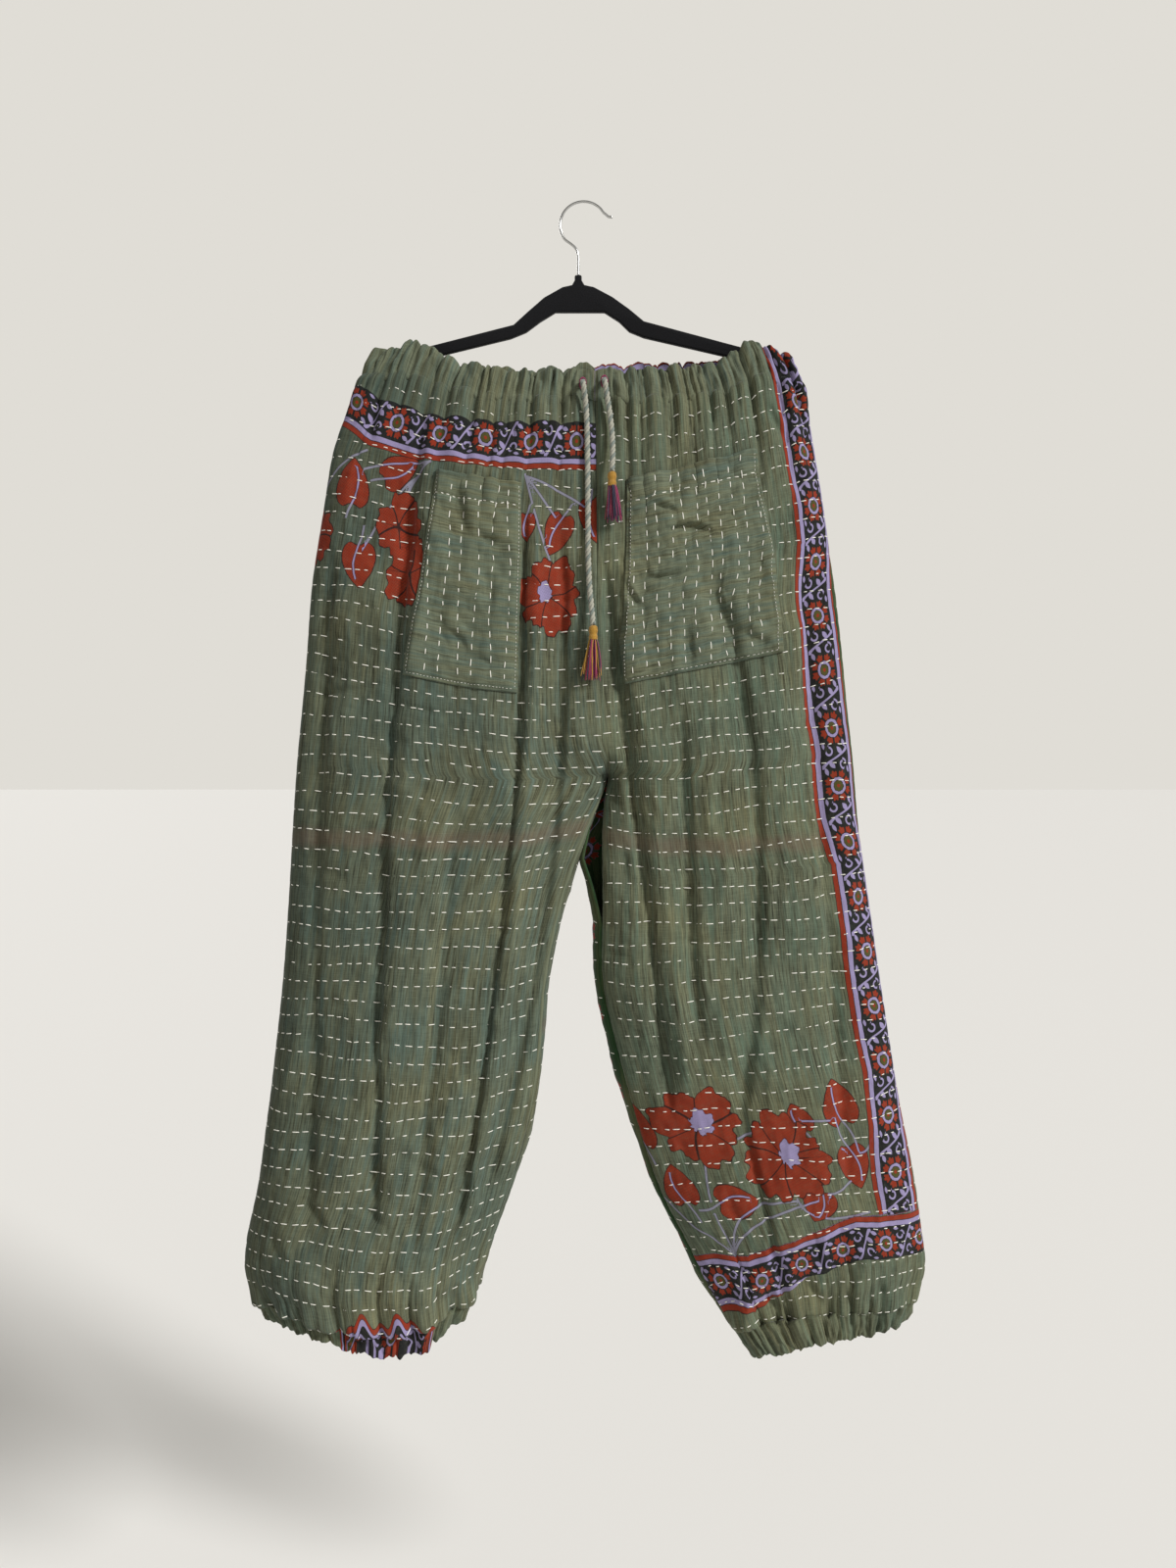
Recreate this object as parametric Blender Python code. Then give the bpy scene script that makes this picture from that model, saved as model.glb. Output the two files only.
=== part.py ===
"""Quilted drawstring joggers hung by the elastic waist on a velvet hanger.

Blender units are metres. Tables and sizes below are in millimetres and are turned into metres
where a mesh is made. X is the picture's right, Y goes away from the viewer and Z is up. The
origin is the bearing point inside the top of the hanger's hook. A "drop" is a depth below it.

Each leg is a loop of cloth: a position w of 0 is the side seam, 1 the inside leg (or the centre
seam above the crotch), and 2 the side seam again, round the back. A position s counts rows of
the leg's table from the waist's top edge to the ankle's bottom edge.
"""

from collections import namedtuple
from math import cos, pi, radians, sin

import bmesh
import bpy
import numpy as np

MM = 0.001

# ---- Cloth
WALL = 1.6  # two layers of soft cotton with their quilting
SEAM_GAP = 0.3
CASING_WALL = 3.6  # a folded channel with its elastic
CASING_PROUD = 0.9  # how far the channel stands out from the panel below it
CASING_BULGE = 0.8
POCKET_WALL = 1.2
POCKET_HEM_WALL = 2.2  # the pocket's turned top hem is double

# ---- Row positions in the leg tables
ROW_TOP, ROW_WAIST, ROW_POCKET_TOP, ROW_POCKET_BOTTOM, ROW_CROTCH, ROW_ANKLE, ROW_END = 0, 1, 3, 6, 8, 17, 18
CLOSING_ROWS = 2.0  # the seat closes into two legs over this many rows above the crotch
ROUNDING_START, ROUNDING_ROWS = 3.0, 6.0  # from here on each leg's loop turns into a closed one
ROLL_ROWS = 0.8  # the inside seam rolls to the front over this many rows below the crotch

# outer_* is the side seam, inner_* the centre seam or inside leg. sag lowers the middle of a row,
# hump lifts it where it passes over the hanger's arm, lift raises the back above the front.
# front and back are half depths, square the corner exponent, strip how far the inside seam has
# rolled to the front, as a share of the loop.
Row = namedtuple("Row", "outer_x outer_drop inner_x inner_drop sag hump lift front back square strip")

RIGHT_LEG = (
    Row(-198, 151, 11.0, 167, 8, 15, 13, 15, 15, 3.6, 0),
    Row(-211, 171, 11.0, 190, 8, 8, 13, 17, 16, 3.4, 0),
    Row(-223, 203, 11.5, 232, 9, 3, 8, 24, 22, 2.9, 0),
    Row(-239, 243, 12.0, 278, 9, 0, 3, 30, 27, 2.6, 0),
    Row(-250, 303, 12.5, 340, 10, 0, 0, 34, 31, 2.5, 0),
    Row(-260, 369, 13.0, 402, 11, 0, 0, 37, 33, 2.4, 0),
    Row(-265, 438, 14.5, 469, 13, 0, 0, 39, 35, 2.4, 0),
    Row(-270, 495, 18.0, 516, 10, 0, 0, 40, 36, 2.4, 0),
    Row(-274, 540, 22.5, 548, 8, 0, 0, 41, 37, 2.4, 0),
    Row(-278, 600, 5.5, 604, 7, 0, 0, 42, 38, 2.4, 0.07),
    Row(-282, 668, -16, 668, 6, 0, 0, 43, 38, 2.4, 0.085),
    Row(-287, 738, -31, 738, 6, 0, 0, 43, 38, 2.4, 0.085),
    Row(-294, 808, -36.5, 806, 6, 0, 0, 43, 38, 2.4, 0.085),
    Row(-302, 876, -46, 872, 7, 0, 0, 44, 38, 2.4, 0.085),
    Row(-311, 940, -64, 934, 10, 0, 0, 46, 39, 2.4, 0.08),
    Row(-321, 990, -82, 982, 14, 0, 0, 48, 40, 2.4, 0.06),
    Row(-320, 1026, -94, 1017, 18, 0, 0, 46, 38, 2.4, 0.04),
    Row(-307, 1050, -105, 1040, 27, 0, 0, 33, 29, 2.4, 0),
    Row(-299, 1067, -114, 1058, 32, 0, 0, 29, 25, 2.4, 0),
)
LEFT_LEG = (
    Row(196, 152, 11.0, 167, 6, 15, 13, 15, 15, 3.6, 0),
    Row(209, 177, 11.0, 190, 7, 10, 13, 17, 16, 3.4, 0),
    Row(214, 201, 11.5, 232, 6, 3, 8, 24, 22, 2.9, 0),
    Row(219, 229, 12.0, 278, 3, 0, 3, 30, 27, 2.6, 0),
    Row(229, 291, 12.5, 340, 3, 0, 0, 34, 31, 2.5, 0),
    Row(238, 356, 13.0, 402, 2, 0, 0, 37, 33, 2.4, 0),
    Row(246, 422, 14.5, 469, 1, 0, 0, 39, 35, 2.4, 0),
    Row(252, 485, 18.0, 516, 3, 0, 0, 40, 36, 2.4, 0),
    Row(257, 532, 23.5, 548, 6, 0, 0, 41, 37, 2.4, 0),
    Row(262, 594, 12, 604, 7, 0, 0, 42, 38, 2.4, 0.09),
    Row(271, 658, 9, 668, 6, 0, 0, 42, 38, 2.4, 0.115),
    Row(281, 728, 9, 742, 4, 0, 0, 42, 38, 2.4, 0.115),
    Row(291, 796, 24, 812, 2, 0, 0, 42, 38, 2.4, 0.115),
    Row(302, 862, 43, 880, 0, 0, 0, 42, 38, 2.4, 0.115),
    Row(314, 924, 64, 940, -2, 0, 0, 42, 37, 2.4, 0.11),
    Row(322, 978, 92, 992, -4, 0, 0, 40, 36, 2.4, 0.10),
    Row(325, 1018, 115, 1036, -5, 0, 0, 34, 32, 2.4, 0.08),
    Row(314, 1052, 147, 1082, -5, 0, 0, 23, 21, 2.4, 0),
    Row(306, 1071, 164, 1106, -5, 0, 0, 20, 18, 2.4, 0),
)

SAG_SKEW = 1.6  # above 1, a row hangs lowest nearer the centre than the side
HUMP_PLACE, HUMP_REACH = 0.2, 0.11  # where the end of the hanger's arm lifts a row, as shares of it
SIDE_SHARE = 0.5  # a closed loop swells over this share of its width from each seam
CLOSING_SOFT, CLOSING_SPREAD = 0.5, 3.0  # how late the centre closes, and how much later the side does

# A fold is a soft trough down the cloth with a ridge beside it, on side +1 (right) or -1.
Fold = namedtuple("Fold", "top_x top_drop mid_x mid_drop low_x low_drop depth width ridge side")
FRONT_FOLDS = (
    Fold(-238, 320, -249, 620, -254, 1000, 5, 16, 2.0, 1),
    Fold(-158, 240, -179, 520, -194, 1000, 5, 9, 3.5, 1),
    Fold(-54, 290, -64, 580, -124, 1000, 3, 6, 6.0, 1),
    Fold(-22, 300, -24, 560, -96, 960, 3, 11, 1.5, 1),
    Fold(-120, 560, -135, 760, -160, 1000, 3, 14, 1.5, -1),
    Fold(16, 330, 47, 560, 84, 880, 6, 9, 3.5, 1),
    Fold(92, 470, 95, 600, 110, 820, 3, 14, 1.5, 1),
    Fold(126, 360, 158, 560, 139, 900, 4, 15, 2.0, 1),
    Fold(205, 330, 222, 600, 250, 980, 4, 15, 2.0, -1),
    Fold(140, 840, 165, 940, 196, 1060, 3, 11, 1.5, 1),
)
BACK_FOLDS = (
    Fold(-200, 300, -222, 620, -240, 1000, 5, 16, 2.0, -1),
    Fold(-110, 280, -130, 600, -170, 1000, 5, 12, 3.0, 1),
    Fold(-30, 300, -60, 600, -112, 980, 4, 13, 2.5, -1),
    Fold(60, 300, 80, 600, 130, 960, 5, 12, 3.0, -1),
    Fold(150, 280, 180, 620, 210, 1000, 4, 14, 2.0, 1),
    Fold(215, 360, 240, 660, 270, 1000, 4, 15, 2.0, 1),
)
FOLD_FADE = 70.0  # a fold comes and goes over this length
SEAM_FADE = 22.0  # folds die out this near a side or inside seam
FULL_FOLD_DEPTH = 14.0  # a fold is whole where the loop is at least this deep
RIDGE_PLACE, RIDGE_WIDTH = 1.6, 1.3  # a ridge's distance from its trough and width, in fold widths

# Where columns of the front panels run: the pockets' two edges, then folds further down.
Mark = namedtuple("Mark", "drop right_pocket_outer right_pocket_inner left_pocket_outer left_pocket_inner")
COLUMN_MARKS = (
    Mark(190, -133, -57, 158, 34),
    Mark(262, -137, -58, 163, 33),
    Mark(330, -147, -58, 177, 29),
    Mark(400, -158, -60, 184, 32),
    Mark(460, -168, -61, 187, 38),
    Mark(560, -177, -66, 178, 49),
    Mark(700, -183, -80, 172, 66),
    Mark(850, -188, -104, 185, 88),
    Mark(1000, -195, -130, 220, 150),
)
LAST_MARK_ROW = 15.5  # below it the marks keep their share of the row
MARK_LIMITS = (0.05, 0.95)  # no mark comes nearer the side or the centre than these shares
INSIDE_MARGIN = 0.085  # least room between the last mark and the centre, along the loop
BACK_OF_SEAM = 1e-7  # on a seam that hasn't rolled, the back's first column is just past w = 1
RIDGE_STEP = 0.03  # the step from a pocket's inner edge up to the fold beside it, along the loop

# Cells between one column mark and the next, from the side seam to the centre.
Cells = namedtuple("Cells", "outer pocket step inner back")
RIGHT_CELLS = Cells(9, 8, 1, 7, 14)
LEFT_CELLS = Cells(7, 12, 1, 4, 14)

# Rows of points down a panel. In the fine rows each cell is halved, for the waist's gathers.
FINE_ROWS = (1.0, 1.3, 1.6, 1.9)
PANEL_ROWS = (2.4, 3.0, 3.35, 4.2, 5.1, 6.0, 6.7, 7.2, 7.6, 7.85, 8.0, 8.5, 9.3, 10.2, 11.2, 12.2, 13.2,
              14.2, 15.0, 15.6, 16.1, 16.5, 17.0)
WAIST_GATHER = 1.3  # half height of a gather at the casing
WAIST_GATHER_RUN = 1.0  # rows over which it dies out
SOFT_GATHER = 1.6  # every other one runs on further down
SOFT_GATHER_RUN = 1.8
SOFT_GATHER_RISE = 0.8
ANKLE_GATHER = 1.7
ANKLE_GATHER_RUN = 1.3
ANKLE_CASING_SHARE = 0.7  # of the ankle's gathers that show on its casing
INNER_SHARE = 0.4  # of a casing's gathers that its inner face follows
GATHER_SWING = 0.4  # a gather is up to this share higher or lower than the next
SWING_TURNS = (2.4, 0.9)  # radians from one gather to the next in the two waves of their swing
FINE_TROUGH, SOFT_TROUGH = -0.4, -0.5  # a trough's depth against its gather's height
NORMAL_STEPS = (0.004, 0.02)  # in w and s, for measuring which way the cloth faces
EDGE_STEP = 0.003  # in w, for measuring the way in from a seam
ROLLED_FROM, PAST_SEAM = 0.005, 0.01  # in w, how far a seam must roll, and a normal's reach past it
WAIST_ROW_LENGTH, ANKLE_ROW_LENGTH = 33.0, 24.0  # from each casing's seam to the panel's next row
HALVINGS = 30  # steps of a search by halving
MARK_PASSES = 4  # steps of the search for a mark, whose place depends on the row's sag

# ---- Hanger
HANGER_THICK = 6.0
ARM_HEIGHT = 10.3
ARM_END_RIGHT = (-196.2, 154.6)  # x and drop of the tip of each arm
ARM_END_LEFT = (193.2, 154.4)
NECK_X, NECK_TOP, NECK_HALF = -5.2, 70.0, 3.4
ARM_TILT = 14  # degrees that each arm slopes down
HANGER_BEVEL, BEVEL_ANGLE = 0.9, 50
# The outline between the neck and the arms' tips, as (x, drop). The right arm's run from tip to neck.
NECK_FLARE = ((0, 0), (0, 5), (2.6, 9.5))  # out from the neck's side and down from its top
ARCH_LEFT = ((9.9, 81.5), (27.7, 91.0), (43.7, 102.5), (57.8, 114.2))
UNDER_LEFT = ((57.8, 129.7), (43.7, 124.0), (34.0, 114.5), (20.0, 105.5))
UNDER_RIGHT = ((-27.0, 105.5), (-41.5, 114.5), (-55.0, 124.5), (-70.0, 130.6))
ARCH_RIGHT = ((-67.2, 117.6), (-54.0, 105.5), (-38.0, 91.5), (-20.2, 81.5))
TIP_FACETS = 6
HOOK_WIRE = 2.4
HOOK_RADIUS = 22.6  # to the middle of the wire
HOOK_START, HOOK_END = 218, 32  # degrees, from the neck side over the top to the tip
HOOK_FACETS = 15
HOOK_STEM = ((NECK_X, NECK_TOP - SEAM_GAP), (NECK_X, 60), (NECK_X - 0.1, 51), (-7.4, 44.0), (-12.0, 39.6))
HOOK_TIP = ((21.6, 11.4), (24.0, 13.4), (27.6, 13.8))

# ---- Drawstring and tassels
CORD_WIDTH = 5.5
CORD_STANDOFF = 0.6
CORD_EXIT_GAP = 0.35
CASING_STOPS = 3  # the first stops of a cord measure their clearance from the casing
POINT_SPACING = 1.6  # between a route's points, in diameters
CURVE_STEP = 0.05  # of the way from one stop to the next, where a route's curve is measured
Stop = namedtuple("Stop", "x drop out")  # out is the cord's clearance from the cloth
CORD_RIGHT = (
    Stop(-0.6, 179.5, 0.0), Stop(-0.6, 179.5, 4.0), Stop(-0.1, 184, 8.5), Stop(1.2, 193, 6.5),
    Stop(2.6, 207, 2.6), Stop(3.4, 226, 1.0), Stop(3.8, 252, 0.5), Stop(4.0, 280, 0.4),
    Stop(4.2, 310, 0.4), Stop(4.4, 345, 0.6), Stop(5.6, 375, 1.6), Stop(7.6, 396, 4.0),
    Stop(9.0, 411, 6.4),
)
CORD_LEFT = (
    Stop(19.6, 177.5, 0.0), Stop(19.6, 177.5, 4.0), Stop(20.2, 182, 8.5), Stop(21.8, 192, 7.0),
    Stop(24.4, 210, 5.0), Stop(26.6, 230, 5.0), Stop(27.2, 250, 7.0), Stop(26.4, 268, 9.0),
)
TASSEL_HEAD_HEIGHT, TASSEL_HEAD_WIDTH = 13.0, 9.0
Tassel = namedtuple("Tassel", "length spread lean strands")  # lean is how far it hangs to the right
TASSEL_RIGHT = Tassel(52.0, 1.9, -1.5, 16)
TASSEL_LEFT = Tassel(48.0, 1.5, 3.0, 16)
STRAND_JOINTS = 3
STRAND_INSET = 0.22  # from the edges of the face that a thread grows out of
STRAND_UNEVEN = 0.14  # threads are cut up to twice this share shorter
STRAND_DEPTH = 0.25  # threads spread this much front to back against the places of their roots
STRAND_TURN = 2.7  # radians from one thread to the next in the wave of their lengths
STRAND_BEND = 0.8  # below 1 a thread spreads early and then hangs
HEAD_SIDES = 12
HEAD_PROFILE = ((0.0, 0.62), (0.12, 0.9), (0.35, 1.0), (0.6, 0.86), (0.8, 1.0), (1.0, 0.8))  # fall, radius
HEAD_INNER = 0.42

# ---- Plain colours
SAGE, DARK_GREEN = (0.22, 0.25, 0.17), (0.05, 0.10, 0.05)
SAGE_LIGHT, CORD_GREY = (0.30, 0.34, 0.24), (0.55, 0.57, 0.50)
THREAD_YELLOW, THREAD_NAVY = (0.75, 0.45, 0.06), (0.05, 0.04, 0.14)
VELVET, STEEL = (0.008, 0.008, 0.009), (0.62, 0.62, 0.62)


def clear_scene():
    for thing in list(bpy.data.objects):
        bpy.data.objects.remove(thing, do_unlink=True)


def material(name, colour, roughness, metallic=0.0):
    made = bpy.data.materials.new(name)
    made.use_nodes = True
    shader = made.node_tree.nodes["Principled BSDF"]
    shader.inputs["Base Color"].default_value = (*colour, 1)
    shader.inputs["Roughness"].default_value = roughness
    shader.inputs["Metallic"].default_value = metallic
    return made


# ---- The garment's surface, on arrays of positions w and s


def smooth_step(x):
    x = np.clip(x, 0, 1)
    return x * x * (3 - 2 * x)


def rows_at(leg, s):
    """The leg table's fields at row positions s, on a smooth curve through its rows."""
    table = np.array(leg, float)
    s = np.asarray(s, float)
    k = np.clip(np.floor(s).astype(int), 0, len(table) - 2)
    u = (s - k)[..., None]
    before, here = table[np.maximum(k - 1, 0)], table[k]
    there, after = table[k + 1], table[np.minimum(k + 2, len(table) - 1)]
    bend = 2 * before - 5 * here + 4 * there - after
    twist = 3 * here - before - 3 * there + after
    values = here + 0.5 * ((there - before) * u + bend * u**2 + twist * u**3)
    return Row(*np.moveaxis(values, -1, 0))


def share_of(t, s):
    """How far across the leg (0 side, 1 centre) the loop is at t, crowding points where it turns."""
    closed = smooth_step((s - ROUNDING_START) / ROUNDING_ROWS)
    return (1 - closed) * (1 - np.cos(pi * t / 2)) + closed * (1 - np.cos(pi * t)) / 2


def position_of(share, s):
    """The t that has this share, by halving."""
    low, high = np.zeros_like(share), np.ones_like(share)
    for _ in range(HALVINGS):
        middle = (low + high) / 2
        above = share_of(middle, s) > share
        high, low = np.where(above, middle, high), np.where(above, low, middle)
    return (low + high) / 2


def row_point(row, share, back):
    """x and drop of a point on a row, before any fold."""
    sag = row.sag * np.sin(pi * np.clip(share, 0, 1) ** SAG_SKEW)
    hump = row.hump * np.exp(-(((share - HUMP_PLACE) / HUMP_REACH) ** 2))
    lift = row.lift * np.sin(pi / 2 * share) * back
    x = row.outer_x + (row.inner_x - row.outer_x) * share
    drop = row.outer_drop + (row.inner_drop - row.outer_drop) * share + sag - hump - lift
    return x, drop


def swell(share, s, square):
    """The loop's depth at a share, from 0 to 1: open at the centre seam, closed below the crotch."""
    share = np.clip(share, 0, 1)
    side_reach = 1 - (1 - SIDE_SHARE) * smooth_step((s - ROUNDING_START) / ROUNDING_ROWS)
    from_side = (1 - (1 - np.minimum(share / side_reach, 1)) ** square) ** (1 / square)
    from_inside = (1 - (1 - np.minimum((1 - share) / SIDE_SHARE, 1)) ** square) ** (1 / square)
    q = np.clip((s - (ROW_CROTCH - CLOSING_ROWS)) / CLOSING_ROWS, 0, 1)
    closing = 1 - (1 - q * q) ** (CLOSING_SOFT + CLOSING_SPREAD * (1 - share))
    return from_side * (1 - closing + closing * from_inside)


def fold_depth(folds, x, drop):
    """How far the folds push the cloth into the body."""
    total = np.zeros_like(x)
    for f in folds:
        # The fold's line is the parabola through its top, middle and low points.
        slope = (f.mid_x - f.top_x) / (f.mid_drop - f.top_drop)
        lower_slope = (f.low_x - f.mid_x) / (f.low_drop - f.mid_drop)
        bend = (lower_slope - slope) / (f.low_drop - f.top_drop)
        line = f.top_x + (drop - f.top_drop) * (slope + (drop - f.mid_drop) * bend)
        off = x - line
        there = smooth_step((drop - f.top_drop) / FOLD_FADE) * smooth_step((f.low_drop - drop) / FOLD_FADE)
        trough = f.depth * np.exp(-((off / f.width) ** 2))
        ridge_off = off - RIDGE_PLACE * f.side * f.width
        ridge = f.ridge * np.exp(-((ridge_off / (RIDGE_WIDTH * f.width)) ** 2))
        total += there * (trough - ridge)
    return total


def loop_point(leg, w, s):
    """Points on a leg's outer face, without its gathers."""
    w, s = np.broadcast_arrays(np.asarray(w, float), np.asarray(s, float))
    back = (w > 1) & (w <= 2)
    t = np.where(back, 2 - w, np.where(w > 2, w - 2, w))
    row = rows_at(leg, s)
    share = share_of(t, s)
    x, drop = row_point(row, share, back)
    depth = np.where(back, row.back, row.front) * swell(share, s, row.square)
    width = np.abs(row.inner_x - row.outer_x)
    near_side = smooth_step(share * width / SEAM_FADE)
    near_inside = np.where(s < ROW_CROTCH, smooth_step((ROW_CROTCH - s) / CLOSING_ROWS), 0)
    near_inside = np.maximum(near_inside, smooth_step((1 - share) * width / SEAM_FADE))
    folds = np.where(back, fold_depth(BACK_FOLDS, x, drop), fold_depth(FRONT_FOLDS, x, drop))
    depth = depth - folds * near_side * near_inside * smooth_step(depth / FULL_FOLD_DEPTH)
    return np.stack([x, np.where(back, depth, -depth), -drop], -1)


def loop_normal(leg, w, s, low, high):
    """Unit normals out of the cloth, with w kept between the panel's own seams."""
    dw, ds = NORMAL_STEPS
    side = 1 if leg is RIGHT_LEG else -1
    along = loop_point(leg, np.minimum(w + dw, high), s) - loop_point(leg, np.maximum(w - dw, low), s)
    down = loop_point(leg, w, np.minimum(s + ds, ROW_END)) - loop_point(leg, w, np.maximum(s - ds, 0))
    normal = np.cross(down, along) * side
    return normal / np.linalg.norm(normal, axis=-1, keepdims=True)


def unit(v):
    return v / np.maximum(np.linalg.norm(v, axis=-1, keepdims=True), 1e-9)


# ---- Columns and gathers


def inside_seam(leg, s):
    """The w of the inside-leg seam, which has rolled to the front below the crotch."""
    strip = rows_at(leg, s).strip * smooth_step((np.asarray(s, float) - ROW_CROTCH) / ROLL_ROWS)
    return 1 - np.maximum(strip, 0)


def mark_position(leg, field, s):
    """The t of a column mark on each row."""
    held = np.minimum(s, LAST_MARK_ROW)
    row = rows_at(leg, held)
    drops = [m.drop for m in COLUMN_MARKS]
    places = [getattr(m, field) for m in COLUMN_MARKS]
    share = np.full_like(held, 0.5)
    for _ in range(MARK_PASSES):
        drop = row_point(row, share, 0)[1]
        share = (np.interp(drop, drops, places) - row.outer_x) / (row.inner_x - row.outer_x)
    return position_of(np.clip(share, *MARK_LIMITS), s)


def front_columns(leg, cells, s):
    """The w of each column of a front panel, one row for each s."""
    name = "right" if leg is RIGHT_LEG else "left"
    outer = mark_position(leg, name + "_pocket_outer", s)
    inner = mark_position(leg, name + "_pocket_inner", s)
    end = inside_seam(leg, s)
    inner = np.minimum(inner, end - INSIDE_MARGIN)
    stops = [np.zeros_like(s), outer, inner, inner + RIDGE_STEP, end]
    counts = [cells.outer, cells.pocket, cells.step, cells.inner]
    columns = [a + (b - a) * k / n for a, b, n in zip(stops, stops[1:], counts) for k in range(n)]
    return np.stack([*columns, end], -1)


def back_columns(leg, cells, s):
    seam = inside_seam(leg, s)
    start = np.where(seam > 1 - BACK_OF_SEAM, 1 + BACK_OF_SEAM, seam)
    return np.stack([start + (2 - start) * k / cells.back for k in range(cells.back + 1)], -1)


def halved(columns):
    """Twice as many columns, with one more in the middle of each cell."""
    middle = (columns[:, :-1] + columns[:, 1:]) / 2
    out = np.empty((len(columns), columns.shape[1] * 2 - 1))
    out[:, ::2], out[:, 1::2] = columns, middle
    return out


def uneven(k):
    """A factor near 1 that differs from one gather to the next."""
    return 1 + GATHER_SWING * np.sin(SWING_TURNS[0] * k) * np.cos(SWING_TURNS[1] * k + 1)


def gathers(columns, s, fine):
    """Height of the gathers along the normal, up on every other column and nothing at the seams."""
    count = columns.shape[1]
    k = np.arange(count)
    off_seams = np.where((k == 0) | (k == count - 1), 0, 1)[None, :]
    s = s[:, None]
    if fine:
        waist = WAIST_GATHER * np.clip(1 - (s - ROW_WAIST) / WAIST_GATHER_RUN, 0, 1)
        fine_waves = np.where(k % 2, 1, FINE_TROUGH)[None, :] * waist * uneven(k)
        coarse = np.where((k // 2) % 2, 1, SOFT_TROUGH)[None, :]
        even = (k % 2 == 0)[None, :]
    else:
        fine_waves = 0
        coarse = np.where(k % 2, 1, SOFT_TROUGH)[None, :]
        even = True
    rise = np.clip((s - ROW_WAIST) / SOFT_GATHER_RISE, 0, 1)
    soft = SOFT_GATHER * rise * np.clip(1 - (s - ROW_WAIST) / SOFT_GATHER_RUN, 0, 1)
    ankle = ANKLE_GATHER * np.clip(1 - (ROW_ANKLE - s) / ANKLE_GATHER_RUN, 0, 1)
    return off_seams * (fine_waves + np.where(even, coarse, 0) * (soft + ankle) * uneven(k))


def face_grid(leg, columns, s, fine, ends):
    """Outer points and normals of a panel. ends is its first and last w limits for normals."""
    s2 = np.broadcast_to(s[:, None], columns.shape)
    low, high = ends
    points = loop_point(leg, columns, s2)
    normals = loop_normal(leg, columns, s2, low, high)
    points = points + normals * gathers(columns, s, fine)[..., None]
    for edge, step in ((0, EDGE_STEP), (-1, -EDGE_STEP)):
        exact = loop_point(leg, columns[:, edge], s)
        inward = loop_point(leg, columns[:, edge] + step, s) - exact
        square_to_seam(inward, columns[:, edge], s, along_seam=False)
        points[:, edge] = exact + unit(inward) * SEAM_GAP / 2
        square_to_seam(normals[:, edge], columns[:, edge], s, along_seam=True)
        normals[:, edge] = unit(normals[:, edge])
    return points, normals


def square_to_seam(vectors, w, s, along_seam):
    """Turns vectors on a seam square to it, or into its plane, so that two walls meet face to face."""
    open_centre = (np.abs(w - 1) < 1e-6) & (s < ROW_CROTCH - 1e-6)
    flat = ~open_centre & ((w < 1e-6) | (w > 2 - 1e-6) | (np.abs(w - 1) < 1e-6))
    vectors[open_centre, 0 if along_seam else 1] = 0
    vectors[flat, 1 if along_seam else 0] = 0
    if not along_seam:
        vectors[open_centre | flat, 2] = 0


# ---- Meshes from grids


def grid_faces(rows, columns, start=0):
    """Two triangles for each cell of a grid of points."""
    faces = []
    for r in range(rows - 1):
        for c in range(columns - 1):
            a = start + r * columns + c
            b = a + columns
            faces += [(a, b, a + 1), (a + 1, b, b + 1)]
    return faces


def joined_faces(fine_start, fine_columns, coarse_start):
    """Faces between a fine row of points and a coarse one with a point for every other one."""
    faces = []
    for c in range(0, fine_columns - 1, 2):
        a = fine_start + c
        b = coarse_start + c // 2
        faces += [(a, b, a + 1), (a + 1, b, b + 1), (a + 1, b + 1, a + 2)]
    return faces


def make_object(name, points, faces, look):
    mesh = bpy.data.meshes.new(name)
    mesh.from_pydata([tuple(p) for p in np.asarray(points) * MM], [], faces)
    mesh.validate()
    tidy = bmesh.new()
    tidy.from_mesh(mesh)
    bmesh.ops.recalc_face_normals(tidy, faces=tidy.faces)
    tidy.to_mesh(mesh)
    tidy.free()
    mesh.shade_smooth()
    made = bpy.data.objects.new(name, mesh)
    bpy.context.collection.objects.link(made)
    mesh.materials.append(look)
    return made


def wall_object(name, outer, inner, faces, edge, look):
    """A closed wall from two faces with the same layout and the loop of points round its edge."""
    count = len(outer)
    both = [tuple(f) for f in faces] + [tuple(count + i for i in reversed(f)) for f in faces]
    for a, b in zip(edge, edge[1:] + edge[:1]):
        # Both walls at a seam are cut along the same diagonal, so that their ends stay parallel.
        if a < b:
            both += [(a, b, count + b), (a, count + b, count + a)]
        else:
            both += [(a, b, count + a), (b, count + b, count + a)]
    return make_object(name, np.concatenate([outer, inner]), both, look)


def panel_layout(fine_rows, fine_columns, rows, columns):
    """Faces and edge loop of a panel whose upper rows have twice the columns."""
    start = fine_rows * fine_columns
    faces = grid_faces(fine_rows, fine_columns)
    faces += joined_faces((fine_rows - 1) * fine_columns, fine_columns, start)
    faces += grid_faces(rows, columns, start)
    top = list(range(fine_columns))
    right = [r * fine_columns + fine_columns - 1 for r in range(1, fine_rows)]
    right += [start + r * columns + columns - 1 for r in range(rows)]
    bottom = [start + (rows - 1) * columns + c for c in range(columns - 2, -1, -1)]
    left = [start + r * columns for r in range(rows - 2, -1, -1)]
    left += [r * fine_columns for r in range(fine_rows - 1, 0, -1)]
    return faces, top + right + bottom + left


def row_values(values, first_gap=0.0, last_gap=0.0):
    s = np.array(values, float)
    s[0] += first_gap
    s[-1] -= last_gap
    return s


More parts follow.
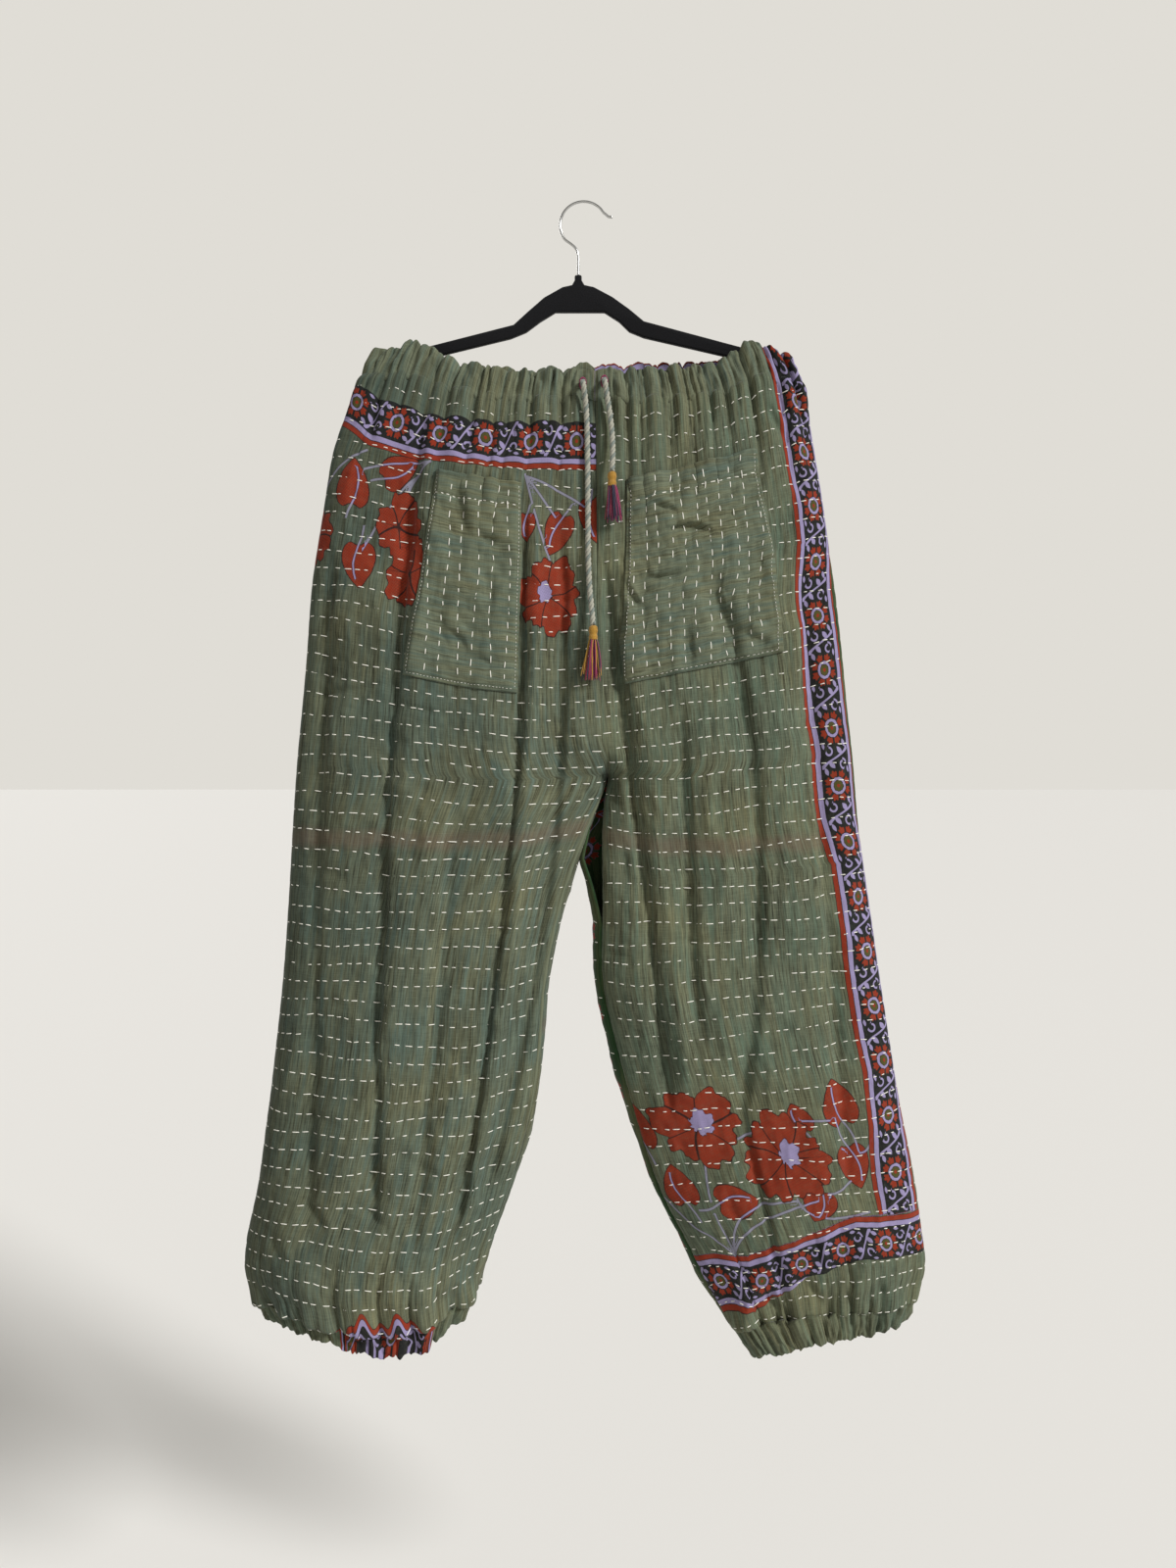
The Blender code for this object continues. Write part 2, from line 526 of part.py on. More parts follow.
def panel(name, leg, cells, is_front, look):
    """One leg panel, and for a front panel the grid that its pocket lies on."""
    layout = front_columns if is_front else back_columns
    fine_s = row_values(FINE_ROWS, first_gap=SEAM_GAP / WAIST_ROW_LENGTH)
    coarse_s = row_values(PANEL_ROWS, last_gap=SEAM_GAP / ANKLE_ROW_LENGTH)
    limits = (0, 1) if is_front else (1 + BACK_OF_SEAM, 2)
    fine = halved(layout(leg, cells, fine_s))
    coarse = layout(leg, cells, coarse_s)
    fine_points, fine_normals = face_grid(leg, fine, fine_s, True, limits)
    points, normals = face_grid(leg, coarse, coarse_s, False, seam_limits(leg, coarse_s, is_front))
    outer = np.concatenate([fine_points.reshape(-1, 3), points.reshape(-1, 3)])
    inward = np.concatenate([fine_normals.reshape(-1, 3), normals.reshape(-1, 3)])
    faces, edge = panel_layout(len(fine_s), fine.shape[1], len(coarse_s), coarse.shape[1])
    inner = outer - inward * WALL
    wall_object(name, outer, inner, faces, edge, look)
    return points, normals


def seam_limits(leg, s, is_front):
    """The w that a normal's sample may reach: past a rolled seam, but not past an open one."""
    seam = inside_seam(leg, s)[:, None]
    rolled = seam < 1 - ROLLED_FROM
    if is_front:
        return 0, np.where(rolled, seam + PAST_SEAM, 1)
    return np.where(rolled, seam - PAST_SEAM, 1 + BACK_OF_SEAM), 2


def pocket(name, grid, cells, look):
    """A patch pocket on its panel's own points, moved out by the seam's gap."""
    points, normals = grid
    rows = [PANEL_ROWS.index(v) for v in PANEL_ROWS if ROW_POCKET_TOP <= v <= ROW_POCKET_BOTTOM]
    first, last = cells.outer, cells.outer + cells.pocket
    base = points[rows[0]:rows[-1] + 1, first:last + 1]
    out = normals[rows[0]:rows[-1] + 1, first:last + 1]
    height = np.full(base.shape[:2], SEAM_GAP + POCKET_WALL)
    height[:2] = SEAM_GAP + POCKET_HEM_WALL
    outer = (base + out * height[..., None]).reshape(-1, 3)
    inner = (base + out * SEAM_GAP).reshape(-1, 3)
    r, c = base.shape[:2]
    edge = list(range(c)) + [k * c + c - 1 for k in range(1, r)]
    edge += [(r - 1) * c + k for k in range(c - 2, -1, -1)] + [k * c for k in range(r - 2, 0, -1)]
    wall_object(name, outer, inner, grid_faces(r, c), edge, look)


def casing_strip(legs_columns, bottom, top, is_front, gather):
    """Profiles along a casing, each a closed outline of six points, from leg pieces in order."""
    profiles = []
    for leg, columns, reverse in legs_columns:
        columns = columns[:, ::-1] if reverse else columns
        order = [bottom, (bottom + top) / 2, top]
        limits = (0, 1) if is_front else (1 + BACK_OF_SEAM, 2)
        faces_out, faces_in = [], []
        for place, s in enumerate(order):
            row = np.full(columns.shape[1], float(s))
            w = columns[0]
            normal = loop_normal(leg, w, row, *limits)
            k = np.arange(len(w))
            on_seam = (k == 0) | (k == len(w) - 1)
            wave = np.where(on_seam, 0, np.where(k % 2, 1, FINE_TROUGH)) * uneven(k) * gather
            point = loop_point(leg, w, row)
            for edge, step in ((0, EDGE_STEP), (-1, -EDGE_STEP)):
                step = step if w[0] < w[-1] else -step
                nearby = loop_point(leg, w[edge] + step, row[edge])
                point[edge] += unit(nearby - point[edge]) * SEAM_GAP / 2
            bulge = CASING_PROUD + (CASING_BULGE if place == 1 else 0)
            faces_out.append(point + normal * (bulge + wave)[:, None])
            faces_in.append(point + normal * (CASING_PROUD - CASING_WALL + wave * INNER_SHARE)[:, None])
        profiles.append(np.stack(faces_out + faces_in[::-1], 1))
    return profiles


def tube_object(name, profiles, closed_ring, look):
    """A solid through profiles of equal point count, capped unless it is a ring."""
    count, sides = profiles.shape[:2]
    faces = []
    for i in range(count if closed_ring else count - 1):
        j = (i + 1) % count
        for k in range(sides):
            n = (k + 1) % sides
            a, b, c, d = i * sides + k, i * sides + n, j * sides + n, j * sides + k
            faces += [(a, b, c), (a, c, d)]
    if not closed_ring:
        last = (count - 1) * sides
        faces += [(0, k + 1, k) for k in range(1, sides - 1)]
        faces += [(last, last + k, last + k + 1) for k in range(1, sides - 1)]
    return make_object(name, profiles.reshape(-1, 3), faces, look)


def waist_casing(is_front, look):
    """One half of the waist's channel, from one side seam to the other."""
    layout = front_columns if is_front else back_columns
    at_seam = np.array([float(ROW_WAIST)])
    right = halved(layout(RIGHT_LEG, RIGHT_CELLS, at_seam))
    left = halved(layout(LEFT_LEG, LEFT_CELLS, at_seam))
    pieces = ((RIGHT_LEG, right, not is_front), (LEFT_LEG, left, is_front))
    strips = casing_strip(pieces, ROW_WAIST, ROW_TOP, is_front, WAIST_GATHER)
    joined = np.concatenate([strips[0][:-1], strips[1]])
    joined[len(strips[0]) - 1] = (strips[0][-1] + strips[1][0]) / 2
    tube_object("waist_casing_front" if is_front else "waist_casing_back", joined, False, look)


def ankle_casing(name, leg, cells, look):
    """The ankle's channel, a ring below the front and the back panel."""
    at_seam = np.array([float(ROW_ANKLE)])
    front = front_columns(leg, cells, at_seam)
    back = back_columns(leg, cells, at_seam)
    gather = ANKLE_GATHER * ANKLE_CASING_SHARE
    strips = [
        casing_strip(((leg, columns, False),), ROW_END, ROW_ANKLE, is_front, gather)[0]
        for columns, is_front in ((front, True), (back, False))
    ]
    joined = np.concatenate([strips[0][:-1], strips[1][:-1]])
    joined[len(strips[0]) - 1] = (strips[0][-1] + strips[1][0]) / 2
    joined[0] = (strips[0][0] + strips[1][-1]) / 2
    tube_object(name, joined, True, look)


# ---- Cords and tassels


def cloth_y(leg, x, drop):
    """The y of the front's face at a place, by halving along the rows."""
    low, high = float(ROW_TOP), float(ROW_CROTCH)
    for _ in range(HALVINGS):
        s = (low + high) / 2
        row = rows_at(leg, s)
        share = (x - row.outer_x) / (row.inner_x - row.outer_x)
        if row_point(row, share, 0)[1] < drop:
            low = s
        else:
            high = s
    t = float(position_of(np.array(share), np.array(s)))
    return float(loop_point(leg, t, s)[1])


def smooth_route(stops, spacing):
    """Evenly spaced points on a smooth curve through the stops."""
    p = np.array(stops, float)
    p = np.concatenate([[2 * p[0] - p[1]], p, [2 * p[-1] - p[-2]]])
    fine = []
    for a, b, c, d in zip(p, p[1:], p[2:], p[3:]):
        for u in np.arange(0, 1, CURVE_STEP):
            bend = 2 * a - 5 * b + 4 * c - d
            twist = 3 * b - a - 3 * c + d
            fine.append(b + 0.5 * ((c - a) * u + bend * u**2 + twist * u**3))
    fine = np.array([*fine, p[-2]])
    run = np.concatenate([[0], np.cumsum(np.linalg.norm(np.diff(fine, axis=0), axis=1))])
    count = max(2, round(run[-1] / spacing) + 1)
    return np.stack([np.interp(np.linspace(0, run[-1], count), run, fine[:, k]) for k in range(3)], -1)


def cord_route(stops):
    """A drawstring's middle line: out of the casing, then down on the cloth."""
    places = []
    for k, stop in enumerate(stops):
        leg = RIGHT_LEG if stop.x < RIGHT_LEG[ROW_TOP].inner_x else LEFT_LEG
        face = cloth_y(leg, stop.x, stop.drop)
        in_casing = CASING_PROUD + CASING_BULGE + (1 + GATHER_SWING) * WAIST_GATHER + CORD_EXIT_GAP
        on_cloth = CORD_STANDOFF + CORD_WIDTH / 2
        out = stop.out + (in_casing if k < CASING_STOPS else on_cloth)
        places.append((stop.x, face - out, -stop.drop))
    return smooth_route(places, CORD_WIDTH * POINT_SPACING)


def cord(name, route, look):
    curve = bpy.data.curves.new(name, "CURVE")
    curve.dimensions = "3D"
    curve.bevel_depth = CORD_WIDTH / 2 * MM
    curve.bevel_resolution = 2
    curve.use_fill_caps = True
    line = curve.splines.new("POLY")
    line.points.add(len(route) - 1)
    for point, place in zip(line.points, route):
        point.co = (*(place * MM), 1)
    curve.materials.append(look)
    made = bpy.data.objects.new(name, curve)
    bpy.context.collection.objects.link(made)
    return made


def ring(work, centre, radius, drop, sides):
    """A level ring of vertices round a centre, drop below it."""
    angles = [2 * pi * k / sides for k in range(sides)]
    places = [(centre[0] + radius * cos(a), centre[1] + radius * sin(a), centre[2] - drop) for a in angles]
    return [work.verts.new(place) for place in places]


def tassel_head(work, top):
    """The wound head. Returns the faces of its underside that the threads grow from."""
    radius = TASSEL_HEAD_WIDTH / 2
    levels = [
        ring(work, top, radius * wide, fall * TASSEL_HEAD_HEIGHT, HEAD_SIDES) for fall, wide in HEAD_PROFILE
    ]
    for upper, lower in zip(levels, levels[1:]):
        for k in range(HEAD_SIDES):
            n = (k + 1) % HEAD_SIDES
            work.faces.new((upper[k], upper[n], lower[n], lower[k]))
    work.faces.new(levels[0][::-1])
    half = HEAD_SIDES // 2
    inner = ring(work, top, radius * HEAD_INNER, TASSEL_HEAD_HEIGHT, half)
    middle = work.verts.new((top[0], top[1], top[2] - TASSEL_HEAD_HEIGHT))
    roots = []
    for k in range(half):
        n = (k + 1) % half
        rim = [levels[-1][(2 * k + j) % HEAD_SIDES] for j in range(3)]
        roots.append(work.faces.new((rim[0], rim[1], inner[k])))
        roots.append(work.faces.new((rim[1], rim[2], inner[n])))
        roots.append(work.faces.new((rim[1], inner[n], inner[k])))
        work.faces.new((inner[k], inner[n], middle))
    bmesh.ops.recalc_face_normals(work, faces=work.faces)
    return roots


def grow_strand(work, root, index, shape, top):
    """One three-sided thread, pushed out of a face of the head's underside."""
    bmesh.ops.inset_individual(work, faces=[root], thickness=STRAND_INSET)
    centre = root.calc_center_median()
    away = (centre[0] - top[0], centre[1] - top[1])
    length = shape.length - TASSEL_HEAD_HEIGHT
    length *= 1 - STRAND_UNEVEN * (1 - sin(STRAND_TURN * index))
    face = root
    for joint in range(1, STRAND_JOINTS + 1):
        face = bmesh.ops.extrude_discrete_faces(work, faces=[face])["faces"][0]
        reach = (joint / STRAND_JOINTS) ** STRAND_BEND
        goal = (
            centre[0] + (away[0] * (shape.spread - 1) + shape.lean) * reach,
            centre[1] + away[1] * STRAND_DEPTH * reach,
            centre[2] - length * joint / STRAND_JOINTS,
        )
        here = face.calc_center_median()
        for vertex in face.verts:
            for axis in range(3):
                vertex.co[axis] += goal[axis] - here[axis]


def finished_mesh(work, name, look):
    """An object in metres from a bmesh in millimetres."""
    mesh = bpy.data.meshes.new(name)
    work.to_mesh(mesh)
    work.free()
    for vertex in mesh.vertices:
        vertex.co *= MM
    mesh.materials.append(look)
    made = bpy.data.objects.new(name, mesh)
    bpy.context.collection.objects.link(made)
    return made


def tassel(name, shape, top, look):
    """A wound head with cut threads whose roots are one body with it."""
    work = bmesh.new()
    roots = tassel_head(work, top)
    for index, root in enumerate(roots[:shape.strands]):
        grow_strand(work, root, index, shape, top)
    finished_mesh(work, name, look)


# ---- Hanger


def arc(centre, radius, start, end, steps):
    """Points of an arc in the picture's plane, as (x, drop), angles in degrees from +X upward."""
    angles = [radians(start + (end - start) * k / steps) for k in range(steps + 1)]
    return [(centre[0] + radius * cos(a), centre[1] - radius * sin(a)) for a in angles]


def hanger_outline():
    """The hanger's outline as (x, drop): neck, arch, two arms with round ends."""
    half = ARM_HEIGHT / 2
    neck = [(NECK_X + NECK_HALF + out, NECK_TOP + down) for out, down in NECK_FLARE]
    left, right = (ARM_END_LEFT[0] - half, ARM_END_LEFT[1]), (ARM_END_RIGHT[0] + half, ARM_END_RIGHT[1])
    tip_left = arc(left, half, 90 - ARM_TILT, -90 - ARM_TILT, TIP_FACETS)
    tip_right = arc(right, half, 270 + ARM_TILT, 90 + ARM_TILT, TIP_FACETS)
    mirror_neck = [(2 * NECK_X - x, d) for x, d in reversed(neck)]
    return [*neck, *ARCH_LEFT, *tip_left, *UNDER_LEFT, *UNDER_RIGHT, *tip_right, *ARCH_RIGHT, *mirror_neck]


def hanger_body(look):
    outline = hanger_outline()
    work = bmesh.new()
    face = work.faces.new([work.verts.new((x, -HANGER_THICK / 2, -drop)) for x, drop in outline])
    extruded = bmesh.ops.extrude_face_region(work, geom=[face])
    for item in extruded["geom"]:
        if isinstance(item, bmesh.types.BMVert):
            item.co.y = HANGER_THICK / 2
    bmesh.ops.recalc_face_normals(work, faces=work.faces)
    body = finished_mesh(work, "hanger_body", look)
    bevel = body.modifiers.new("Soft edge", "BEVEL")
    bevel.width = HANGER_BEVEL * MM
    bevel.segments = 1
    bevel.limit_method = "ANGLE"
    bevel.angle_limit = radians(BEVEL_ANGLE)


def hook_route():
    """The wire's middle line, from the neck up and over to the turned tip."""
    centre_drop = HOOK_RADIUS - HOOK_WIRE / 2
    bow = arc((0, centre_drop), HOOK_RADIUS, HOOK_START, HOOK_END, HOOK_FACETS)
    return [(x, 0, -drop) for x, drop in (*HOOK_STEM, *bow, *HOOK_TIP)]


def hanger_hook(look):
    route = smooth_route(hook_route(), HOOK_WIRE * POINT_SPACING)
    made = cord("hanger_hook", route, look)
    made.data.bevel_depth = HOOK_WIRE / 2 * MM


def build():
    clear_scene()
    sage = material("sage cotton", SAGE, 0.9)
    green = material("dark green print", DARK_GREEN, 0.9)
    casing = material("casing cotton", SAGE_LIGHT, 0.9)
    rope = material("twisted cord", CORD_GREY, 0.8)

    right_grid = panel("front_panel_right", RIGHT_LEG, RIGHT_CELLS, True, sage)
    left_grid = panel("front_panel_left", LEFT_LEG, LEFT_CELLS, True, sage)
    panel("back_panel_right", RIGHT_LEG, RIGHT_CELLS, False, sage)
    panel("back_panel_left", LEFT_LEG, LEFT_CELLS, False, green)
    pocket("pocket_right", right_grid, RIGHT_CELLS, casing)
    pocket("pocket_left", left_grid, LEFT_CELLS, casing)
    waist_casing(True, casing)
    waist_casing(False, casing)
    ankle_casing("hem_casing_right", RIGHT_LEG, RIGHT_CELLS, casing)
    ankle_casing("hem_casing_left", LEFT_LEG, LEFT_CELLS, casing)

    for side, stops, shape, colour in (
        ("right", CORD_RIGHT, TASSEL_RIGHT, THREAD_YELLOW),
        ("left", CORD_LEFT, TASSEL_LEFT, THREAD_NAVY),
    ):
        route = cord_route(stops)
        cord("drawstring_" + side, route, rope)
        along = route[-1] - route[-2]
        tilt = np.hypot(along[0], along[1]) / -along[2]
        top = route[-1] - (0, 0, SEAM_GAP + tilt * CORD_WIDTH / 2)
        tassel("tassel_" + side, shape, top, material("tassel thread " + side, colour, 0.7))

    hanger_body(material("velvet", VELVET, 1.0))
    hanger_hook(material("steel", STEEL, 0.25, 1.0))


build()
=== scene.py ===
# %% [markdown]
# # Quilted drawstring joggers on a velvet hanger
# Wide cotton joggers, sewn by hand through two layers of old printed cloth, gathered by elastic at the
# waist and ankles, and hung by the waist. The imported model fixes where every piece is. This script gives
# each piece its cloth, print and thread, and it works from the pattern cutter's view: every point of cloth
# has a place on the flat cut, and prints, stitches and gathers are all laid out there.

# %% Load the frame
from collections import namedtuple
from math import cos, pi, radians, sin

import bpy
import numpy as np
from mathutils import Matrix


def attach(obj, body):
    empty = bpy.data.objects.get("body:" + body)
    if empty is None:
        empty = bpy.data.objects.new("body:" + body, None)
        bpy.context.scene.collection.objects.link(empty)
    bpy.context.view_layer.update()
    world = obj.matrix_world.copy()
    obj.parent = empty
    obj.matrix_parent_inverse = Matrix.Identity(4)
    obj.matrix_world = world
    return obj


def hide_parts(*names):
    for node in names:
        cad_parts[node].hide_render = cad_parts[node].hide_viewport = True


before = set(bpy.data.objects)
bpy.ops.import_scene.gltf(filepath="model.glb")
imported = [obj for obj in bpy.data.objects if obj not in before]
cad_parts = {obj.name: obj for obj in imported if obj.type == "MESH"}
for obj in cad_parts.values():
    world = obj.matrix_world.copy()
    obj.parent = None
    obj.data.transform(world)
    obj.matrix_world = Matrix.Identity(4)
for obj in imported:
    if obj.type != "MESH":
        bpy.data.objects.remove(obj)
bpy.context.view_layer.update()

MM = 0.001


def add_object(name, data):
    made = bpy.data.objects.new(name, data)
    bpy.context.scene.collection.objects.link(made)
    return made


# %% [markdown]
# ## Camera
# The photograph was taken level, square to the hanger and from about arm's length, so its view has strong
# perspective. A camera's lens follows from how far it stands and how much it sees there. Blender measures
# the lens against the longer side of the image, which is 1600 pixels high.

# %% Camera
IMAGE_HIGH = 1600
PIXEL = 0.94  # millimetres that one pixel covers at the hanger
STAND_OFF = 1130.0
LENS_X, LENS_DROP = 4.2, 557.4
SENSOR = 36.0

lens = bpy.data.cameras.new("Camera")
lens.sensor_width = SENSOR
lens.lens = SENSOR * STAND_OFF / (PIXEL * IMAGE_HIGH)
camera = add_object("Camera", lens)
camera.location = (LENS_X * MM, -STAND_OFF * MM, -LENS_DROP * MM)
camera.rotation_euler = (radians(90), 0, 0)
bpy.context.scene.camera = camera
print("lens", round(lens.lens, 2), "mm")

# %% [markdown]
# ## The shape of the hung cloth
# Each leg is a loop of cloth at every height. A table row gives the loop's two ends as the photograph shows
# them, how deep it hangs front and back, and how it sags between. A smooth curve through the rows gives
# every height between them. A point on the leg has a place round the loop, `w`: 0 at the side seam, 1 at
# the inside, 2 at the side again. Its row position `s` is 0 at the waist's top and 18 at the ankle.
# Modelling by numbers keeps the solids and this finer cloth on exactly the same form.

# %% The legs' rows
ROW_FIELDS = "outer_x outer_drop inner_x inner_drop sag front back strip square hump lift"
Row = namedtuple("Row", ROW_FIELDS, defaults=(0, 2.4, 0, 0))
ROW_WAIST, ROW_POCKET_TOP, ROW_POCKET_BOTTOM, ROW_CROTCH, ROW_ANKLE, ROW_END = 1, 3, 6, 8, 17, 18


def table(kind, *rows):
    """Rows of numbers as named tuples."""
    return tuple(kind(*row) for row in rows)


RIGHT_LEG = table(
    Row,
    (-198, 151, 11, 167, 8, 15, 15, 0, 3.6, 15, 13), (-211, 171, 11, 190, 8, 17, 16, 0, 3.4, 8, 13),
    (-223, 203, 11.5, 232, 9, 24, 22, 0, 2.9, 3, 8), (-239, 243, 12, 278, 9, 30, 27, 0, 2.6, 0, 3),
    (-250, 303, 12.5, 340, 10, 34, 31, 0, 2.5), (-260, 369, 13, 402, 11, 37, 33),
    (-265, 438, 14.5, 469, 13, 39, 35), (-270, 495, 18, 516, 10, 40, 36),
    (-274, 540, 22.5, 548, 8, 41, 37), (-278, 600, 5.5, 604, 7, 42, 38, 0.07),
    (-282, 668, -16, 668, 6, 43, 38, 0.085), (-287, 738, -31, 738, 6, 43, 38, 0.085),
    (-294, 808, -36.5, 806, 6, 43, 38, 0.085), (-302, 876, -46, 872, 7, 44, 38, 0.085),
    (-311, 940, -64, 934, 10, 46, 39, 0.08), (-321, 990, -82, 982, 14, 48, 40, 0.06),
    (-320, 1026, -94, 1017, 18, 46, 38, 0.04), (-307, 1050, -105, 1040, 27, 33, 29),
    (-299, 1067, -114, 1058, 32, 29, 25),
)
LEFT_LEG = table(
    Row,
    (196, 152, 11, 167, 6, 15, 15, 0, 3.6, 15, 13), (209, 177, 11, 190, 7, 17, 16, 0, 3.4, 10, 13),
    (214, 201, 11.5, 232, 6, 24, 22, 0, 2.9, 3, 8), (219, 229, 12, 278, 3, 30, 27, 0, 2.6, 0, 3),
    (229, 291, 12.5, 340, 3, 34, 31, 0, 2.5), (238, 356, 13, 402, 2, 37, 33),
    (246, 422, 14.5, 469, 1, 39, 35), (252, 485, 18, 516, 3, 40, 36), (257, 532, 23.5, 548, 6, 41, 37),
    (262, 594, 12, 604, 7, 42, 38, 0.09), (271, 658, 9, 668, 6, 42, 38, 0.115),
    (281, 728, 9, 742, 4, 42, 38, 0.115), (291, 796, 24, 812, 2, 42, 38, 0.115),
    (302, 862, 43, 880, 0, 42, 38, 0.115), (314, 924, 64, 940, -2, 42, 37, 0.11),
    (322, 978, 92, 992, -4, 40, 36, 0.1), (325, 1018, 115, 1036, -5, 34, 32, 0.08),
    (314, 1052, 147, 1082, -5, 23, 21), (306, 1071, 164, 1106, -5, 20, 18),
)
LEGS = {"right": RIGHT_LEG, "left": LEFT_LEG}
print(len(RIGHT_LEG), "rows a leg")

# %% The legs' large folds
Fold = namedtuple("Fold", "top_x top_drop mid_x mid_drop low_x low_drop depth width ridge side")
FRONT_FOLDS = table(
    Fold,
    (-238, 320, -249, 620, -254, 1000, 5, 16, 2, 1), (-158, 240, -179, 520, -194, 1000, 5, 9, 3.5, 1),
    (-54, 290, -64, 580, -124, 1000, 3, 6, 6, 1), (-22, 300, -24, 560, -96, 960, 3, 11, 1.5, 1),
    (-120, 560, -135, 760, -160, 1000, 3, 14, 1.5, -1), (16, 330, 47, 560, 84, 880, 6, 9, 3.5, 1),
    (92, 470, 95, 600, 110, 820, 3, 14, 1.5, 1), (126, 360, 158, 560, 139, 900, 4, 15, 2, 1),
    (205, 330, 222, 600, 250, 980, 4, 15, 2, -1), (140, 840, 165, 940, 196, 1060, 3, 11, 1.5, 1),
)
BACK_FOLDS = table(
    Fold,
    (-200, 300, -222, 620, -240, 1000, 5, 16, 2, -1), (-110, 280, -130, 600, -170, 1000, 5, 12, 3, 1),
    (-30, 300, -60, 600, -112, 980, 4, 13, 2.5, -1), (60, 300, 80, 600, 130, 960, 5, 12, 3, -1),
    (150, 280, 180, 620, 210, 1000, 4, 14, 2, 1), (215, 360, 240, 660, 270, 1000, 4, 15, 2, 1),
)
FOLD_FADE = 70.0
SEAM_FADE = 22.0
FULL_FOLD_DEPTH = 14.0
RIDGE_PLACE, RIDGE_WIDTH = 1.6, 1.3
CLOSING_ROWS = 2.0
ROUNDING_START, ROUNDING_ROWS = 3.0, 6.0
ROLL_ROWS = 0.8
SAG_SKEW = 1.6
HUMP_PLACE, HUMP_REACH = 0.2, 0.11
SIDE_SHARE = 0.5
CLOSING_SOFT, CLOSING_SPREAD = 0.5, 3.0
BACK_OF_SEAM = 1e-7
print(len(FRONT_FOLDS), "front folds and", len(BACK_FOLDS), "back folds")


# %% Points on a leg
def smooth_step(x):
    x = np.clip(x, 0, 1)
    return x * x * (3 - 2 * x)


def bell(x, width):
    """1 at 0, falling away to both sides."""
    return np.exp(-((x / width) ** 2))


def between(a, b, c, d, u):
    """A smooth curve from b to c, where a comes before them and d after."""
    bend, twist = 2 * a - 5 * b + 4 * c - d, 3 * b - a - 3 * c + d
    return b + 0.5 * ((c - a) * u + bend * u**2 + twist * u**3)


def rows_at(leg, s):
    """The table's fields at row positions s, on a smooth curve through its rows."""
    rows = np.array(leg, float)
    s = np.asarray(s, float)
    k = np.clip(np.floor(s).astype(int), 0, len(rows) - 2)
    before, after = rows[np.maximum(k - 1, 0)], rows[np.minimum(k + 2, len(rows) - 1)]
    return Row(*np.moveaxis(between(before, rows[k], rows[k + 1], after, (s - k)[..., None]), -1, 0))


def share_of(t, s):
    """How far across the leg (0 side, 1 centre) the loop is at t."""
    closed = smooth_step((s - ROUNDING_START) / ROUNDING_ROWS)
    return (1 - closed) * (1 - np.cos(pi * t / 2)) + closed * (1 - np.cos(pi * t)) / 2


def position_of(share, s):
    """The t that has this share, by halving."""
    low, high = np.zeros_like(share), np.ones_like(share)
    for _ in range(30):
        middle = (low + high) / 2
        above = share_of(middle, s) > share
        high, low = np.where(above, middle, high), np.where(above, low, middle)
    return (low + high) / 2


def row_point(row, share, back):
    """x and drop of a point on a row, before any fold."""
    sag = row.sag * np.sin(pi * np.clip(share, 0, 1) ** SAG_SKEW)
    hump = row.hump * bell(share - HUMP_PLACE, HUMP_REACH)
    lift = row.lift * np.sin(pi / 2 * share) * back
    x = row.outer_x + (row.inner_x - row.outer_x) * share
    drop = row.outer_drop + (row.inner_drop - row.outer_drop) * share + sag - hump - lift
    return x, drop


def swell(share, s, square):
    """The loop's depth at a share, from 0 to 1: open at the centre seam, closed below the crotch."""
    share = np.clip(share, 0, 1)
    side_reach = 1 - (1 - SIDE_SHARE) * smooth_step((s - ROUNDING_START) / ROUNDING_ROWS)
    from_side = (1 - (1 - np.minimum(share / side_reach, 1)) ** square) ** (1 / square)
    from_inside = (1 - (1 - np.minimum((1 - share) / SIDE_SHARE, 1)) ** square) ** (1 / square)
    q = np.clip((s - (ROW_CROTCH - CLOSING_ROWS)) / CLOSING_ROWS, 0, 1)
    closing = 1 - (1 - q * q) ** (CLOSING_SOFT + CLOSING_SPREAD * (1 - share))
    return from_side * (1 - closing + closing * from_inside)


def fold_depth(folds, x, drop):
    """How far the folds push the cloth into the body."""
    total = np.zeros_like(x)
    for f in folds:
        slope = (f.mid_x - f.top_x) / (f.mid_drop - f.top_drop)
        lower_slope = (f.low_x - f.mid_x) / (f.low_drop - f.mid_drop)
        bend = (lower_slope - slope) / (f.low_drop - f.top_drop)
        off = x - (f.top_x + (drop - f.top_drop) * (slope + (drop - f.mid_drop) * bend))
        there = smooth_step((drop - f.top_drop) / FOLD_FADE) * smooth_step((f.low_drop - drop) / FOLD_FADE)
        trough = f.depth * bell(off, f.width)
        ridge_off = off - RIDGE_PLACE * f.side * f.width
        ridge = f.ridge * bell(ridge_off, RIDGE_WIDTH * f.width)
        total += there * (trough - ridge)
    return total


def loop_point(leg, w, s):
    """Points on a leg's outer face, in millimetres."""
    w, s = np.broadcast_arrays(np.asarray(w, float), np.asarray(s, float))
    back = (w > 1) & (w <= 2)
    t = np.where(back, 2 - w, np.where(w > 2, w - 2, w))
    row = rows_at(leg, s)
    share = share_of(t, s)
    x, drop = row_point(row, share, back)
    depth = np.where(back, row.back, row.front) * swell(share, s, row.square)
    width = np.abs(row.inner_x - row.outer_x)
    near_side = smooth_step(share * width / SEAM_FADE)
    near_inside = np.where(s < ROW_CROTCH, smooth_step((ROW_CROTCH - s) / 2), 0)
    near_inside = np.maximum(near_inside, smooth_step((1 - share) * width / SEAM_FADE))
    folds = np.where(back, fold_depth(BACK_FOLDS, x, drop), fold_depth(FRONT_FOLDS, x, drop))
    depth = depth - folds * near_side * near_inside * smooth_step(depth / FULL_FOLD_DEPTH)
    return np.stack([x, np.where(back, depth, -depth), -drop], -1)


print("right hip's side seam", loop_point(RIGHT_LEG, 0, 4).round(1))
print("left knee's front", loop_point(LEFT_LEG, 0.5, 12).round(1))

